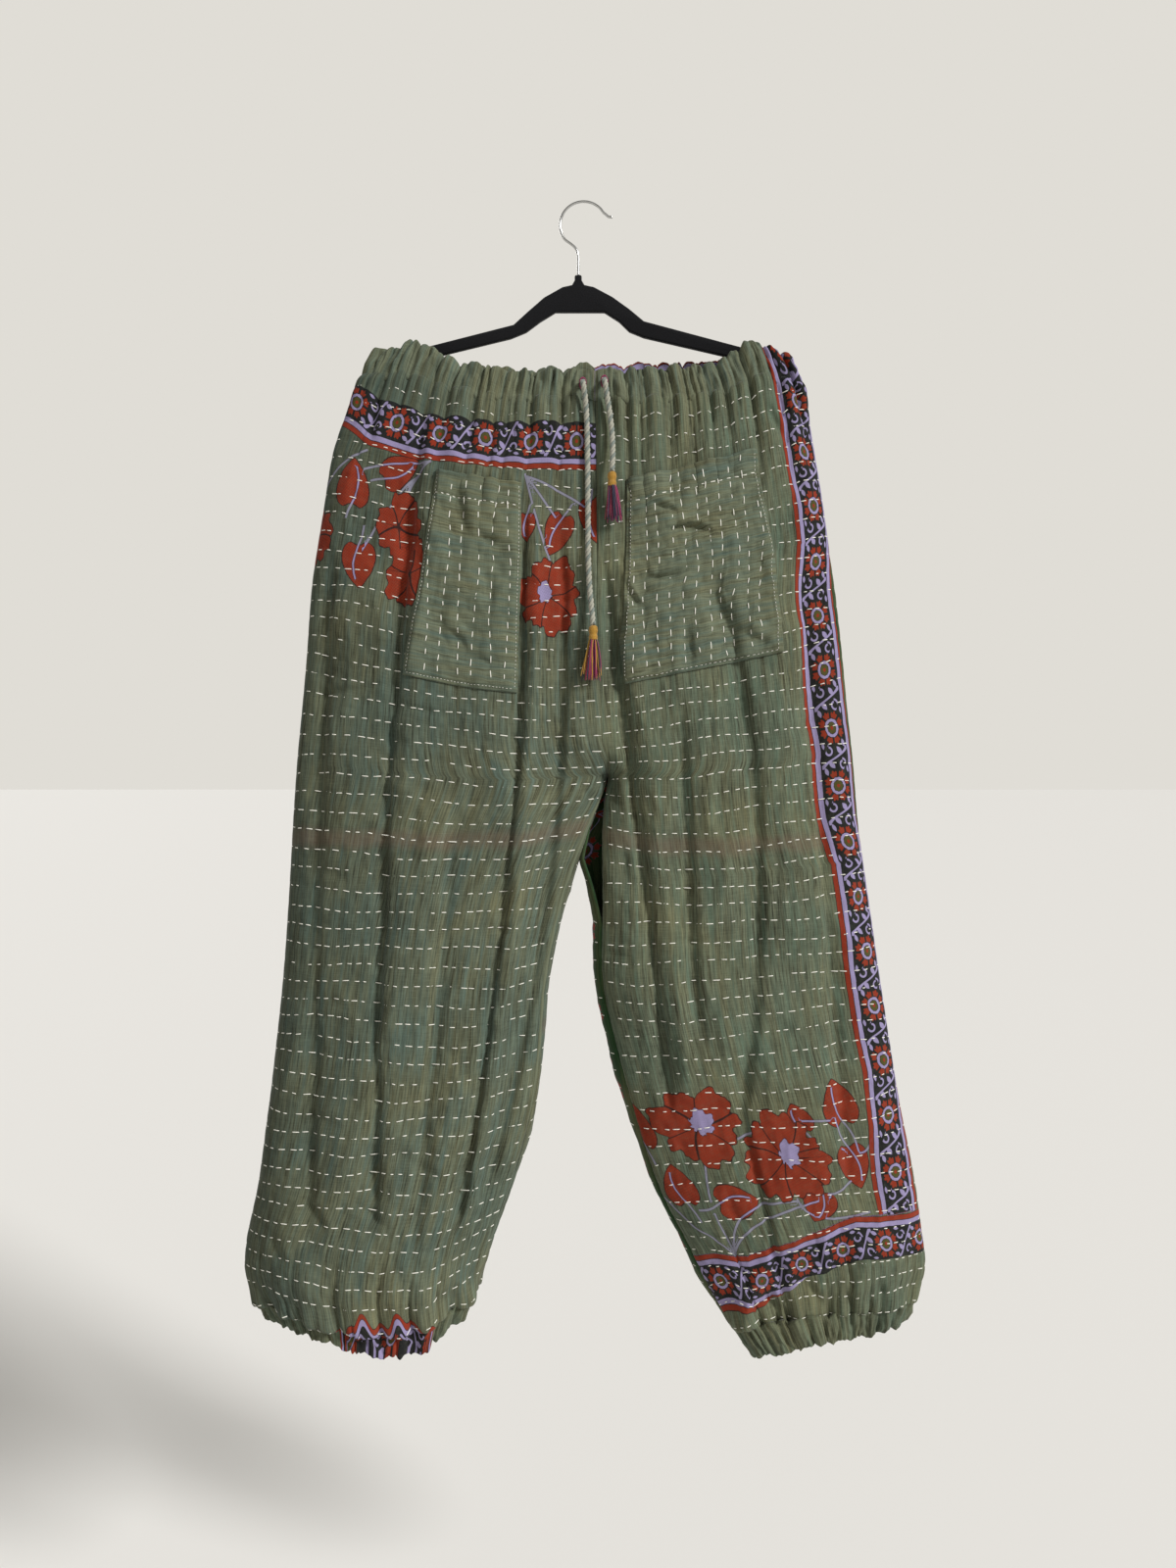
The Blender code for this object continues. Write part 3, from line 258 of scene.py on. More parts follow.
# %% [markdown]
# ## Drawstrings' routes
# The two free ends of the drawstring come out of buttonholes at the waist and hang on the cloth. Their
# places are fixed early, because the cloth under them must lie flat enough not to cut through them. Each
# route is a short list of stops, read from the photograph, with the cord's clearance from the cloth.

# %% Cord routes
CORD_WIDTH = 5.5
CORD_STANDOFF = 0.6
CASING_REACH = 0.9 + 0.8 + 1.4 * 1.3 + 0.35  # proud, bulge, highest gather and gap
CASING_STOPS = 3
Stop = namedtuple("Stop", "x drop out")
CORD_RIGHT = table(
    Stop,
    (-0.6, 179.5, 0), (-0.6, 179.5, 4), (-0.1, 184, 8.5), (1.2, 193, 6.5), (2.6, 207, 2.6), (3.4, 226, 1),
    (3.8, 252, 0.5), (4, 280, 0.4), (4.2, 310, 0.4), (4.4, 345, 0.6), (5.6, 375, 1.6), (7.6, 396, 4),
    (9, 411, 6.4),
)
CORD_LEFT = table(
    Stop,
    (19.6, 177.5, 0), (19.6, 177.5, 4), (20.2, 182, 8.5), (21.8, 192, 7), (24.4, 210, 5), (26.6, 230, 5),
    (27.2, 250, 7), (26.4, 268, 9),
)


def cloth_y(leg, x, drop):
    """The y of the front's face at a place, by halving along the rows."""
    low, high = 0.0, float(ROW_CROTCH)
    for _ in range(30):
        s = (low + high) / 2
        row = rows_at(leg, s)
        share = (x - row.outer_x) / (row.inner_x - row.outer_x)
        if row_point(row, share, 0)[1] < drop:
            low = s
        else:
            high = s
    t = float(position_of(np.array(share), np.array(s)))
    return float(loop_point(leg, t, s)[1])


def run_along(points, axis=0):
    """The length of lines of points from their start to each point."""
    steps = np.linalg.norm(np.diff(points, axis=axis), axis=-1)
    return np.concatenate([np.zeros_like(steps.take([0], axis)), np.cumsum(steps, axis)], axis)


def smooth_route(stops, spacing):
    """Evenly spaced points on a smooth curve through the stops."""
    p = np.array(stops, float)
    p = np.concatenate([[2 * p[0] - p[1]], p, [2 * p[-1] - p[-2]]])
    fine = [between(*near, u) for near in zip(p, p[1:], p[2:], p[3:]) for u in np.arange(0, 1, 0.05)]
    fine = np.array([*fine, p[-2]])
    run = run_along(fine)
    even = np.linspace(0, run[-1], max(2, round(run[-1] / spacing) + 1))
    return np.stack([np.interp(even, run, fine[:, k]) for k in range(3)], -1)


def cord_route(stops):
    """A drawstring's middle line: out of the casing, then down on the cloth."""
    places = []
    for k, stop in enumerate(stops):
        leg = RIGHT_LEG if stop.x < RIGHT_LEG[0].inner_x else LEFT_LEG
        clearance = CASING_REACH if k < CASING_STOPS else CORD_STANDOFF + CORD_WIDTH / 2
        places.append((stop.x, cloth_y(leg, stop.x, stop.drop) - stop.out - clearance, -stop.drop))
    return smooth_route(places, 1.2)


routes = {"right": cord_route(CORD_RIGHT), "left": cord_route(CORD_LEFT)}
CORD_LENGTHS = {side: float(run_along(route)[-1]) for side, route in routes.items()}
print("drawstrings in mm:", {side: round(length) for side, length in CORD_LENGTHS.items()})

# %% [markdown]
# ## The flat cut
# A print is made before the cloth is cut, so it belongs to the flat cloth and not to the hung form. Every
# point gets a place `u` across the cut, from the side seam, and `v` down it, from the waist's seam, in
# millimetres. Where the elastic draws 300 mm of cloth into 220 mm, the print and the stitches crowd together
# as they do on the real waist. These two numbers become the UV map of every cloth piece.

# %% Places on the flat cut
CUT_WIDTH = 300.0
ARC_STEPS = 241


def length_down(leg):
    """Row positions and their v, measured down the middle of the front."""
    s = np.linspace(0, ROW_END, 721)
    middle = loop_point(leg, np.linspace(0.25, 0.75, 5)[:, None], s[None, :])
    v = run_along(middle, 1).mean(0)
    return s, v - np.interp(ROW_WAIST, s, v)


DOWN = {id(leg): length_down(leg) for leg in LEGS.values()}


def row_of(leg, v):
    """The row positions at these v, the reverse of depth_of."""
    s, down = DOWN[id(leg)]
    return np.interp(v, down, s)


def depth_of(leg, s):
    rows, down = DOWN[id(leg)]
    return np.interp(s, rows, down)


def from_edge(u):
    return np.minimum(u, CUT_WIDTH - u)


for side, leg in LEGS.items():
    print(side, "leg: waist top", depth_of(leg, 0).round(1), "ankle seam", depth_of(leg, ROW_ANKLE).round(1))


# %% Columns of cloth
def inside_seam(leg, s):
    """The w of the inside-leg seam, which has rolled to the front below the crotch."""
    strip = rows_at(leg, s).strip * smooth_step((np.asarray(s, float) - ROW_CROTCH) / ROLL_ROWS)
    return 1 - np.maximum(strip, 0)


SIDE_ROLL = 11.0  # how far the left leg's side seam has rolled to the front at the hips, in millimetres
SIDE_ROLL_TOP, SIDE_ROLL_LOW, SIDE_ROLL_FADE = 150.0, 480.0, 70.0


def side_seam(leg, v, s):
    """The w of the side seam: 0, or further round where the left leg's seam has rolled forward."""
    if leg is RIGHT_LEG:
        return np.zeros_like(s)
    w = np.linspace(0, 0.4, 61)[None, :]
    run = np.cumsum(np.linalg.norm(np.diff(loop_point(leg, w, s[:, None]), axis=1), axis=-1), axis=1)
    roll = smooth_step((v - SIDE_ROLL_TOP) / SIDE_ROLL_FADE)
    roll = roll * smooth_step((SIDE_ROLL_LOW - v) / SIDE_ROLL_FADE)
    return np.array([np.interp(r * SIDE_ROLL, a, w[0, 1:], left=0) * (r > 0) for r, a in zip(roll, run)])


def even_columns(leg, s, start, end, count):
    """The w of points spread evenly along the cloth on each row."""
    w = start[:, None] + (end - start)[:, None] * np.linspace(0, 1, ARC_STEPS)
    run = run_along(loop_point(leg, w, s[:, None]), 1)
    goal = np.linspace(0, 1, count)
    return np.stack([np.interp(goal, r / r[-1], row) for r, row in zip(run, w)])


def panel_columns(leg, is_front, v, s, count):
    """The w of a panel's columns: from the side seam to the inside in front, and back again behind."""
    inside = inside_seam(leg, s)
    side = side_seam(leg, v, s)
    if is_front:
        return even_columns(leg, s, side, inside, count)
    start = np.where(inside > 1 - BACK_OF_SEAM, 1 + BACK_OF_SEAM, inside)
    return even_columns(leg, s, start, 2 + side, count)


def face_normals(points, leg):
    """Unit normals of a grid of points whose rows go down and whose columns go round."""
    down, along = np.gradient(points, axis=0), np.gradient(points, axis=1)
    normal = np.cross(down, along) * (1 if leg is RIGHT_LEG else -1)
    return normal / np.maximum(np.linalg.norm(normal, axis=-1, keepdims=True), 1e-9)


# %% [markdown]
# ## Gathers
# Elastic pulls cloth into round pleats with sharp valleys between them. Each pleat has its own width and
# height, and runs a different way down before it dies out. Two layers do it: narrow pleats that end soon
# after the stitching, and broad ones, each several narrow ones wide, that run on down the cloth. Sculpting
# them by hand would look as good, but seeded numbers keep the same pleats at each run.

# %% Gathers
Pleats = namedtuple("Pleats", "lines heights reaches")
PLEAT_ROUND = 0.55  # below 1 the pleat is round and its valleys are sharp
VALLEY_SHARE = 0.4


def pleats(seed, pitch, height, reach):
    """One set of gathers: its valleys' places on the cut, and each pleat's height and reach."""
    rng = np.random.default_rng(seed)
    steps = rng.uniform(0.4, 1.8, round(CUT_WIDTH / pitch))
    lines = np.concatenate([[0], np.cumsum(steps)]) * CUT_WIDTH / steps.sum()
    heights = height * rng.uniform(0.6, 1.3, len(steps)) * (steps / steps.mean()) ** 0.7
    return Pleats(lines, heights, reach * rng.uniform(0.45, 1.6, len(steps)) ** 1.3)


def pleat_height(p, u, away):
    """Height of the pleats at u, this far below or above the line of stitching."""
    k = np.clip(np.searchsorted(p.lines, u) - 1, 0, len(p.heights) - 1)
    f = np.clip((u - p.lines[k]) / (p.lines[k + 1] - p.lines[k]), 0, 1)
    profile = np.sin(pi * f) ** PLEAT_ROUND - VALLEY_SHARE
    return p.heights[k] * profile * (1 - smooth_step(away / p.reaches[k]))


PANEL_KEYS = {"front_right": 1, "front_left": 2, "back_right": 3, "back_left": 4}
# A fine and a broad set of pleats for each panel: seed, pitch, height and reach.
WAIST = {
    name: (pleats(100 + key, 16.0, 4.6, 60.0), pleats(200 + key, 30.0, 7.0, 125.0))
    for name, key in PANEL_KEYS.items()
}
ANKLE = {
    name: (pleats(300 + key, 19.0, 3.3 if "left" in name else 4.6, 46.0), pleats(400 + key, 38.0, 6.5, 95.0))
    for name, key in PANEL_KEYS.items()
}
SWAY = 3.0
WAIST_PULL, ANKLE_PULL = 0.55, 0.8


def gathered(name, u, v, ankle_v):
    """Height of both sets of gathers on a panel."""
    u = u + SWAY * np.sin(v / 38 + u / 60) * smooth_step(v / 60)
    fine, broad = WAIST[name]
    below = np.maximum(v, 0)
    height = pleat_height(fine, u, below) + pleat_height(broad, u, below) * smooth_step((v + 6) / 14)
    fine, broad = ANKLE[name]
    above = np.maximum(ankle_v - v, 0)
    return height + pleat_height(fine, u, above) + pleat_height(broad, u, above) * smooth_step(above / 10)


LIP_PLACE, LIP_WIDTH, LIP_FALL, LIP_OUT = 9.0, 8.0, 8.0, 4.0


def ankle_lip(name, u, v, ankle_v):
    """0 to 1 where puffed cloth hangs over the ankle's stitching. It is fullest on the broad pleats."""
    puff = np.clip(0.5 + pleat_height(ANKLE[name][1], u, 0 * u) / 7, 0, 1) * (0.5 if "left" in name else 1.0)
    edge = smooth_step(from_edge(u) / 20)
    above = ankle_v - v
    return puff * edge * bell(above - LIP_PLACE, LIP_WIDTH) * smooth_step(above / 4)


def drawn_down(name, u, v, ankle_v):
    """How far the broad pleats pull the cloth up or down, which makes its edges and borders wave."""
    edge = smooth_step(from_edge(u) / 12)
    waist = pleat_height(WAIST[name][1], u, np.maximum(v, 0)) * WAIST_PULL
    ankle = pleat_height(ANKLE[name][1], u, np.maximum(ankle_v - v, 0)) * ANKLE_PULL
    return (waist + ankle) * edge


print("pleats on the front right waist:", len(WAIST["front_right"][0].heights))

# %% [markdown]
# ## Creases, crumple and quilting
# Washed cotton keeps small creases, and rows of running stitch pull it into shallow furrows. The creases
# that show in the photograph are listed one by one: where each lies, how long, which way it turns, how deep.
# The crumple is a sum of long waves in many directions, folded into soft valleys. The quilting is a furrow
# along each row of stitches, deepest at the stitches themselves.

# %% Creases and crumple
Crease = namedtuple("Crease", "x drop length turn bow depth width")
FRONT_CREASES = table(
    Crease,
    (-232, 468, 60, 4, 3, 1.6, 4), (-205, 470, 40, -12, -2, 1.2, 3), (-152, 486, 60, 14, 3, 1.3, 4),
    (-148, 560, 48, 24, 2, 1.1, 4), (-90, 520, 55, 10, -3, 1.2, 4), (-225, 640, 70, 16, 4, 1.2, 5),
    (-80, 690, 62, -18, 3, 1.3, 5), (-230, 760, 80, 10, 3, 1.2, 5), (-118, 812, 60, -22, -3, 1.3, 4),
    (-236, 868, 70, 24, 4, 1.4, 5), (-152, 905, 82, 36, 5, 1.8, 5), (-196, 950, 75, 42, 4, 2, 5),
    (-250, 960, 56, 58, -4, 2, 5), (-120, 972, 70, -38, 4, 1.8, 5), (-285, 985, 46, 62, 3, 1.9, 5),
    (-170, 1008, 46, 66, 2, 2, 5), (-20, 520, 42, 62, 3, 1.6, 4), (2, 560, 40, 70, 2, 2, 4),
    (30, 560, 60, 78, 3, 2.4, 5), (40, 640, 70, 84, 3, 2, 6), (85, 505, 66, -12, 4, 1.3, 5),
    (150, 540, 70, 12, 3, 1.1, 5), (205, 500, 46, -34, 3, 1.4, 4), (100, 700, 46, -6, 2, 1.3, 4),
    (30, 716, 34, 2, 1, 1.6, 3), (190, 700, 70, -16, 4, 1.2, 5), (120, 850, 70, -26, 4, 1.3, 5),
    (230, 860, 60, 18, 3, 1.2, 5), (150, 960, 60, 40, 4, 1.6, 5), (215, 1030, 46, 60, 3, 2, 4),
    (250, 1036, 40, 74, 3, 2, 4), (182, 1046, 44, 44, 3, 2, 4), (280, 1030, 36, 82, 2, 1.8, 4),
    (-262, 250, 44, 70, 2, 1.6, 4), (-196, 216, 52, 104, 3, 3.2, 4), (-152, 240, 130, 97, 2, 4.2, 5),
    (184, 216, 60, 58, 4, 2.6, 4), (205, 270, 66, 78, 3, 2.2, 5),
)
BACK_CREASES = table(
    Crease,
    (-220, 420, 70, 12, 3, 1.3, 5), (-90, 470, 60, -20, 3, 1.3, 5), (-170, 600, 80, 18, 4, 1.4, 5),
    (-60, 660, 60, 30, 3, 1.3, 5), (-240, 740, 70, -16, 3, 1.2, 5), (-150, 860, 80, 28, 5, 1.5, 5),
    (-220, 950, 70, 46, 4, 1.9, 5), (-130, 960, 60, -40, 4, 1.8, 5), (40, 560, 60, 70, 3, 1.9, 5),
    (10, 540, 50, -66, 3, 1.8, 4), (120, 480, 70, -14, 3, 1.3, 5), (200, 600, 70, 20, 3, 1.3, 5),
    (110, 740, 60, -22, 3, 1.3, 5), (210, 820, 80, 18, 4, 1.3, 5), (170, 950, 66, 42, 4, 1.7, 5),
    (260, 980, 56, -50, 4, 1.7, 5), (80, 380, 56, 60, 3, 1.4, 5), (-60, 380, 56, -60, 3, 1.4, 5),
)
CREASE_SCALE = 1.35
RIM_SHARE = 0.45  # height of the ridge beside a crease, against its depth


def crease_height(creases, x, drop):
    """Soft troughs with a low ridge on one side."""
    total = np.zeros_like(x)
    for c in creases:
        a = radians(c.turn)
        along = (x - c.x) * cos(a) + (drop - c.drop) * sin(a)
        across = (drop - c.drop) * cos(a) - (x - c.x) * sin(a)
        end = np.clip(np.abs(along) * 2 / c.length, 0, 1)
        across = across - c.bow * (1 - end**2)
        trough = bell(across, c.width)
        rim = RIM_SHARE * bell(across + 1.9 * c.width, 1.5 * c.width)
        total += CREASE_SCALE * c.depth * (rim - trough) * (1 - smooth_step(end))
    return total


def waves(x, y, seed, length, count=16):
    """A smooth irregular pattern about 1 high, of waves near this length in every direction."""
    rng = np.random.default_rng(seed)
    total = np.zeros_like(x)
    for _ in range(count):
        angle, phase = rng.uniform(0, 2 * pi, 2)
        k = 2 * pi / (length * rng.uniform(0.7, 1.5))
        total += np.sin(k * (x * cos(angle) + y * sin(angle)) + phase)
    return total / (count / 2) ** 0.5


CRUMPLE = ((130, 2.2), (56, 1.2), (27, 0.45))  # wave length and height
SMALL_CRUMPLE = (12, 0.16)


def crumple_height(x, drop, seed):
    """Soft irregular valleys, stronger near the ankles."""
    total = waves(x, drop, seed + 9, SMALL_CRUMPLE[0]) * SMALL_CRUMPLE[1]
    for k, (length, height) in enumerate(CRUMPLE):
        near_ankle = 1 + 0.4 * smooth_step((drop - 860) / 160)
        total += height * near_ankle * (0.55 - np.abs(waves(x, drop * 0.5, seed + k, length)))
    return total


STITCH_ROWS = 17.5  # from one row of running stitch to the next
STITCH_PITCH = 10.8
FURROW, FURROW_WIDTH = 0.62, 2.8


def row_wander(u, v):
    """How far a row of hand stitching strays from its line."""
    return 2.0 * np.sin(u / 43 + v / 33) + 1.0 * np.sin(u / 16 + v / 21)


def wrap_to(values, period):
    """Values folded into the range from minus to plus half a period."""
    return (values + period / 2) % period - period / 2


def furrow_height(u, v):
    """The dip along each row of running stitch, deepest at the stitches."""
    off = wrap_to(v + row_wander(u, v), STITCH_ROWS)
    pull = 0.62 + 0.38 * np.cos(2 * pi * u / STITCH_PITCH)
    return FURROW * (0.35 - pull * bell(off, FURROW_WIDTH))


CORD_BED, CORD_BED_DEPTH = 7.0, 0.4  # the flat bed under a cord, to either side
CORD_BED_TOP, CORD_BED_FADE, TASSEL_FADE = 170.0, 6.0, 12.0
TASSEL_REACH = {"right": 56.0, "left": 52.0}


def clear_of_cords(x, drop, height):
    """Keeps raised cloth out of the drawstrings and tassels that lie on it."""
    for side, route in routes.items():
        line = np.interp(drop, -route[:, 2], route[:, 0])
        low = TASSEL_REACH[side] - route[-1, 2]
        inside = smooth_step((drop - CORD_BED_TOP) / CORD_BED_FADE) * smooth_step((low - drop) / TASSEL_FADE)
        near = inside * bell(x - line, CORD_BED)
        height = np.where(height > 0, height * (1 - near), height) - CORD_BED_DEPTH * near
    return height


# %% [markdown]
# ## The cloth as a thin shell
# A single sheet of faces would be the quick way, but then the cloth has no edge and no inside. Here the
# outer face is a fine grid and the inner face a coarser one, half as dense each way, and a rim of
# triangles joins them. It is one closed shell with a quarter of the cost of doubling the fine grid.

# %% Shell meshes
WALL = 1.6


def grid_quads(index, flip):
    """The faces between a grid's numbered points."""
    quads = np.stack([index[:-1, :-1], index[1:, :-1], index[1:, 1:], index[:-1, 1:]], -1).reshape(-1, 4)
    return quads[:, ::-1] if flip else quads


def edge_loop(index):
    """A grid's border as one loop of numbers: top, last column, bottom, first column."""
    return np.concatenate([index[0, :-1], index[:-1, -1], index[-1, :0:-1], index[:0:-1, 0]])


def build_mesh(name, points, quads, triangles, flat=None, fields=None):
    """A smooth mesh in metres. flat gives each point its u and v, and fields further numbers."""
    mesh = bpy.data.meshes.new(name)
    loops = np.concatenate([quads.ravel(), triangles.ravel()]).astype(np.int32)
    starts = np.concatenate([np.arange(len(quads)) * 4, len(quads) * 4 + np.arange(len(triangles)) * 3])
    mesh.vertices.add(len(points))
    mesh.vertices.foreach_set("co", (points * MM).astype(np.float32).ravel())
    mesh.loops.add(len(loops))
    mesh.loops.foreach_set("vertex_index", loops)
    mesh.polygons.add(len(starts))
    mesh.polygons.foreach_set("loop_start", starts.astype(np.int32))
    mesh.update(calc_edges=True)
    if flat is not None:
        layer = mesh.uv_layers.new(name="Cut")
        layer.data.foreach_set("uv", (flat[loops] * MM).astype(np.float32).ravel())
    for label, values in (fields or {}).items():
        mesh.attributes.new(label, "FLOAT", "POINT").data.foreach_set("value", values.astype(np.float32))
    mesh.validate()
    mesh.shade_smooth()
    return mesh


def place(name, mesh, look, nodes=()):
    """Puts a mesh in the scene as a piece that rides on the one body."""
    piece = add_object(name, mesh)
    for material in look if isinstance(look, (list, tuple)) else [look]:
        mesh.materials.append(material)
    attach(piece, "root")
    if nodes:
        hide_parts(*nodes)
    return piece


def shell_mesh(name, outer, normals, flat, flip, wall=WALL, fields=None):
    """A closed shell from a grid with odd numbers of rows and columns."""
    fine = np.arange(outer[..., 0].size).reshape(outer.shape[:2])
    coarse = fine.size + np.arange(fine[::2, ::2].size).reshape(fine[::2, ::2].shape)
    quads = np.concatenate([grid_quads(fine, flip), grid_quads(coarse, not flip)])
    rim, p = edge_loop(fine), edge_loop(coarse)
    a, m, b, q = rim[::2], rim[1::2], np.roll(rim, -2)[::2], np.roll(p, -1)
    triangles = np.concatenate([np.stack(t, -1) for t in ((a, m, p), (m, q, p), (m, b, q))])

    def both(grid, thin=0):
        """A grid's values at the outer points and then at the inner ones."""
        inner = (grid - thin)[::2, ::2]
        return np.concatenate([grid.reshape(fine.size, -1), inner.reshape(coarse.size, -1)])

    fields = {label: both(values).ravel() for label, values in (fields or {}).items()}
    triangles = triangles[:, ::-1] if flip else triangles
    return build_mesh(name, both(outer, normals * wall), quads, triangles, both(flat), fields)


# %% [markdown]
# ## Threads and cords as tubes
# A thread or a cord is a round tube along a line. Blender's curve with a bevel depth would make one, but
# there are thousands of stitches, so rings of points are laid round each line and joined in one mesh, which
# is quick to build and gives every tube closed ends.

# %% Tube meshes
def tube_points(line, radius, sides, twist=0.0):
    """Rings round a line. radius may differ from point to point."""
    tangent = np.gradient(line, axis=0)
    tangent /= np.linalg.norm(tangent, axis=1, keepdims=True)
    across = np.cross(tangent, (0.3, 1.0, 0.1))
    across /= np.linalg.norm(across, axis=1, keepdims=True)
    other = np.cross(tangent, across)
    angles = 2 * pi * np.arange(sides) / sides + twist
    radius = np.broadcast_to(radius, len(line))[:, None, None]
    rings = np.cos(angles)[None, :, None] * across[:, None] + np.sin(angles)[None, :, None] * other[:, None]
    return line[:, None] + rings * radius, across, other


def tube_faces(count, sides, closed=False):
    """Faces of a tube of rings: quads along it, and a fan at each end where it isn't closed on itself."""
    index = np.arange((count + closed) * sides).reshape(-1, sides) % (count * sides)
    near = np.roll(index, -1, axis=1)
    quads = np.stack([index[:-1], near[:-1], near[1:], index[1:]], -1).reshape(-1, 4)
    last = index[-1, 0]
    fans = [f for k in range(1, sides - 1) for f in ((0, k + 1, k), (last, last + k, last + k + 1))]
    return quads, np.array([] if closed else fans, int).reshape(-1, 3)


def tubes_mesh(name, tubes, flags=None):
    """One mesh of capped tubes, each an array of rings. flags gives each tube its material's number."""
    quads, fans, start = [], [], 0
    for rings in tubes:
        faces = tube_faces(*rings.shape[:2])
        quads.append(faces[0] + start)
        fans.append(faces[1] + start)
        start += rings.shape[0] * rings.shape[1]
    points = np.concatenate([rings.reshape(-1, 3) for rings in tubes])
    mesh = build_mesh(name, points, np.concatenate(quads), np.concatenate(fans))
    if flags:
        shades = [np.repeat(flags, [len(f) for f in faces]) for faces in (quads, fans)]
        mesh.polygons.foreach_set("material_index", np.concatenate(shades).astype(np.int32))
    return mesh


# %% [markdown]
# ## Leg panels
# Each panel is a grid over its own piece of the form: rows down the cloth, columns round it. The grid is
# closer where a spray of flowers is printed, because the print is drawn from distances kept at the grid's
# points. The folds come with the form. Gathers, creases, crumple and furrows are added along the cloth's
# own normal, and all of them die away towards the seams, which sink a little where two edges are joined.

# %% Panel shapes
PanelPlan = namedtuple("PanelPlan", "name leg front columns fine_from fine_to slot")
PANEL_PLANS = table(
    PanelPlan,
    ("front_right", RIGHT_LEG, True, 181, 0, 330, "sage_cotton"),
    ("front_left", LEFT_LEG, True, 181, 610, 860, "sage_cotton"),
    ("back_right", RIGHT_LEG, False, 121, 0, 30, "sage_cotton"),
    ("back_left", LEFT_LEG, False, 121, 0, 30, "dark_print_cotton"),
)
FINE_ROW, FRONT_ROW, BACK_ROW = 1.8, 2.7, 3.0
Cloth = namedtuple("Cloth", "name leg u v w points normals")
SEAM_SINK, SEAM_SINK_WIDTH = 0.9, 2.2
SEAM_CALM = 7.0  # creases and gathers die out this near a seam
FRONT_LINES = [f._replace(width=0.36 * f.width, depth=2.6, ridge=1.9) for f in FRONT_FOLDS]
BACK_LINES = [f._replace(width=0.36 * f.width, depth=2.2, ridge=1.5) for f in BACK_FOLDS]
SEAM_OVERLAP, SEAM_OVERLAP_WIDTH = 2.5, 14.0  # the centre seams meet this far over, so no slit shows
CROTCH_DROPS, CROTCH_GAPS = (535, 555, 604, 628, 655, 690), (0, 6, 13, 18, 9, 0)


def row_places(plan):
    """The v of a panel's rows, closer together over its print. Their number is odd."""
    low = float(depth_of(plan.leg, ROW_ANKLE))
    coarse = FRONT_ROW if plan.front else BACK_ROW
    dense = np.linspace(0, low, 2000)
    step = np.where((dense > plan.fine_from) & (dense < plan.fine_to), FINE_ROW, coarse)
    count = np.concatenate([[0], np.cumsum(np.diff(dense) / step[1:])])
    rows = int(count[-1] / 2) * 2 + 1
    return np.interp(np.linspace(0, count[-1], rows), count, dense)


def panel_cloth(plan):
    """A panel's finished outer face: the form with gathers, creases, crumple and furrows."""
    v = row_places(plan)
    s = row_of(plan.leg, v)
    w = panel_columns(plan.leg, plan.front, v, s, plan.columns)
    base = loop_point(plan.leg, w, s[:, None])
    normals = face_normals(base, plan.leg)
    across = np.linspace(0, CUT_WIDTH, plan.columns)
    u = across if plan.front else across[::-1]
    flat_u, flat_v = np.meshgrid(u, v)
    x, drop = base[..., 0], -base[..., 2]
    edge = from_edge(flat_u)
    calm = smooth_step(edge / SEAM_CALM)
    creases = FRONT_CREASES if plan.front else BACK_CREASES
    height = gathered(plan.name, flat_u, flat_v, v[-1])
    height -= fold_depth(FRONT_LINES if plan.front else BACK_LINES, x, drop)
    loose = smooth_step(flat_v / 80) * smooth_step(edge / 30)
    height += crease_height(creases, x, drop) + crumple_height(x, drop, 31 * PANEL_KEYS[plan.name]) * loose
    height = height * calm + furrow_height(flat_u, flat_v)
    height -= SEAM_SINK * bell(edge, SEAM_SINK_WIDTH)
    if plan.front:
        height = clear_of_cords(x, drop, height)
    lip = ankle_lip(plan.name, flat_u, flat_v, v[-1])
    points = base + normals * (height + LIP_OUT * lip)[..., None]
    points[..., 2] += drawn_down(plan.name, flat_u, flat_v, v[-1]) - LIP_FALL * lip
    joined = smooth_step((s - 5) / 1.5) * smooth_step(8.5 - s)
    overlap = SEAM_OVERLAP * joined[:, None] * smooth_step((flat_u - CUT_WIDTH) / SEAM_OVERLAP_WIDTH + 1)
    points[..., 0] += overlap * (1 if plan.leg is RIGHT_LEG else -1)
    if plan.name == "back_left":
        gap = np.interp(drop, CROTCH_DROPS, CROTCH_GAPS) * smooth_step((flat_u - 250) / 50)
        points = points + np.stack([-gap, np.minimum(gap * 0.5, 5), 0 * gap], -1)
    return Cloth(plan.name, plan.leg, u, v, w, points, face_normals(points, plan.leg))


cloths = {plan.name: panel_cloth(plan) for plan in PANEL_PLANS}
for cloth in cloths.values():
    print(cloth.name, cloth.points.shape[:2], "points")


def on_cloth(cloth, u, v):
    """The point and normal of a panel's finished face at places on its cut."""
    rising = slice(None, None, 1 if cloth.u[0] < cloth.u[-1] else -1)
    c = np.interp(u, cloth.u[rising], np.arange(len(cloth.u))[rising])
    r = np.interp(v, cloth.v, np.arange(len(cloth.v)))
    r0 = np.clip(r.astype(int), 0, len(cloth.v) - 2)
    c0 = np.clip(c.astype(int), 0, len(cloth.u) - 2)
    fr, fc = (r - r0)[..., None], (c - c0)[..., None]

    def there(grid):
        upper = grid[r0, c0] * (1 - fc) + grid[r0, c0 + 1] * fc
        lower = grid[r0 + 1, c0] * (1 - fc) + grid[r0 + 1, c0 + 1] * fc
        return upper * (1 - fr) + lower * fr

    normal = there(cloth.normals)
    return there(cloth.points), normal / np.linalg.norm(normal, axis=-1, keepdims=True)


# %% [markdown]
# ## Prints
# The flowers were block printed on the flat cloth, and a motif is one drawing used many times. Painting an
# image by hand would be the usual way, but an image is fixed in size. Here each motif is a formula: how far
# a point is from a petal's edge, a leaf's rib or a stem. The distances are kept at the cloth's own points,
# and the shader turns them into crisp edges. The sprays below are drawn afresh as common flowers and
# leaves, in the colours and sizes of the photographed cloth, and none is traced.

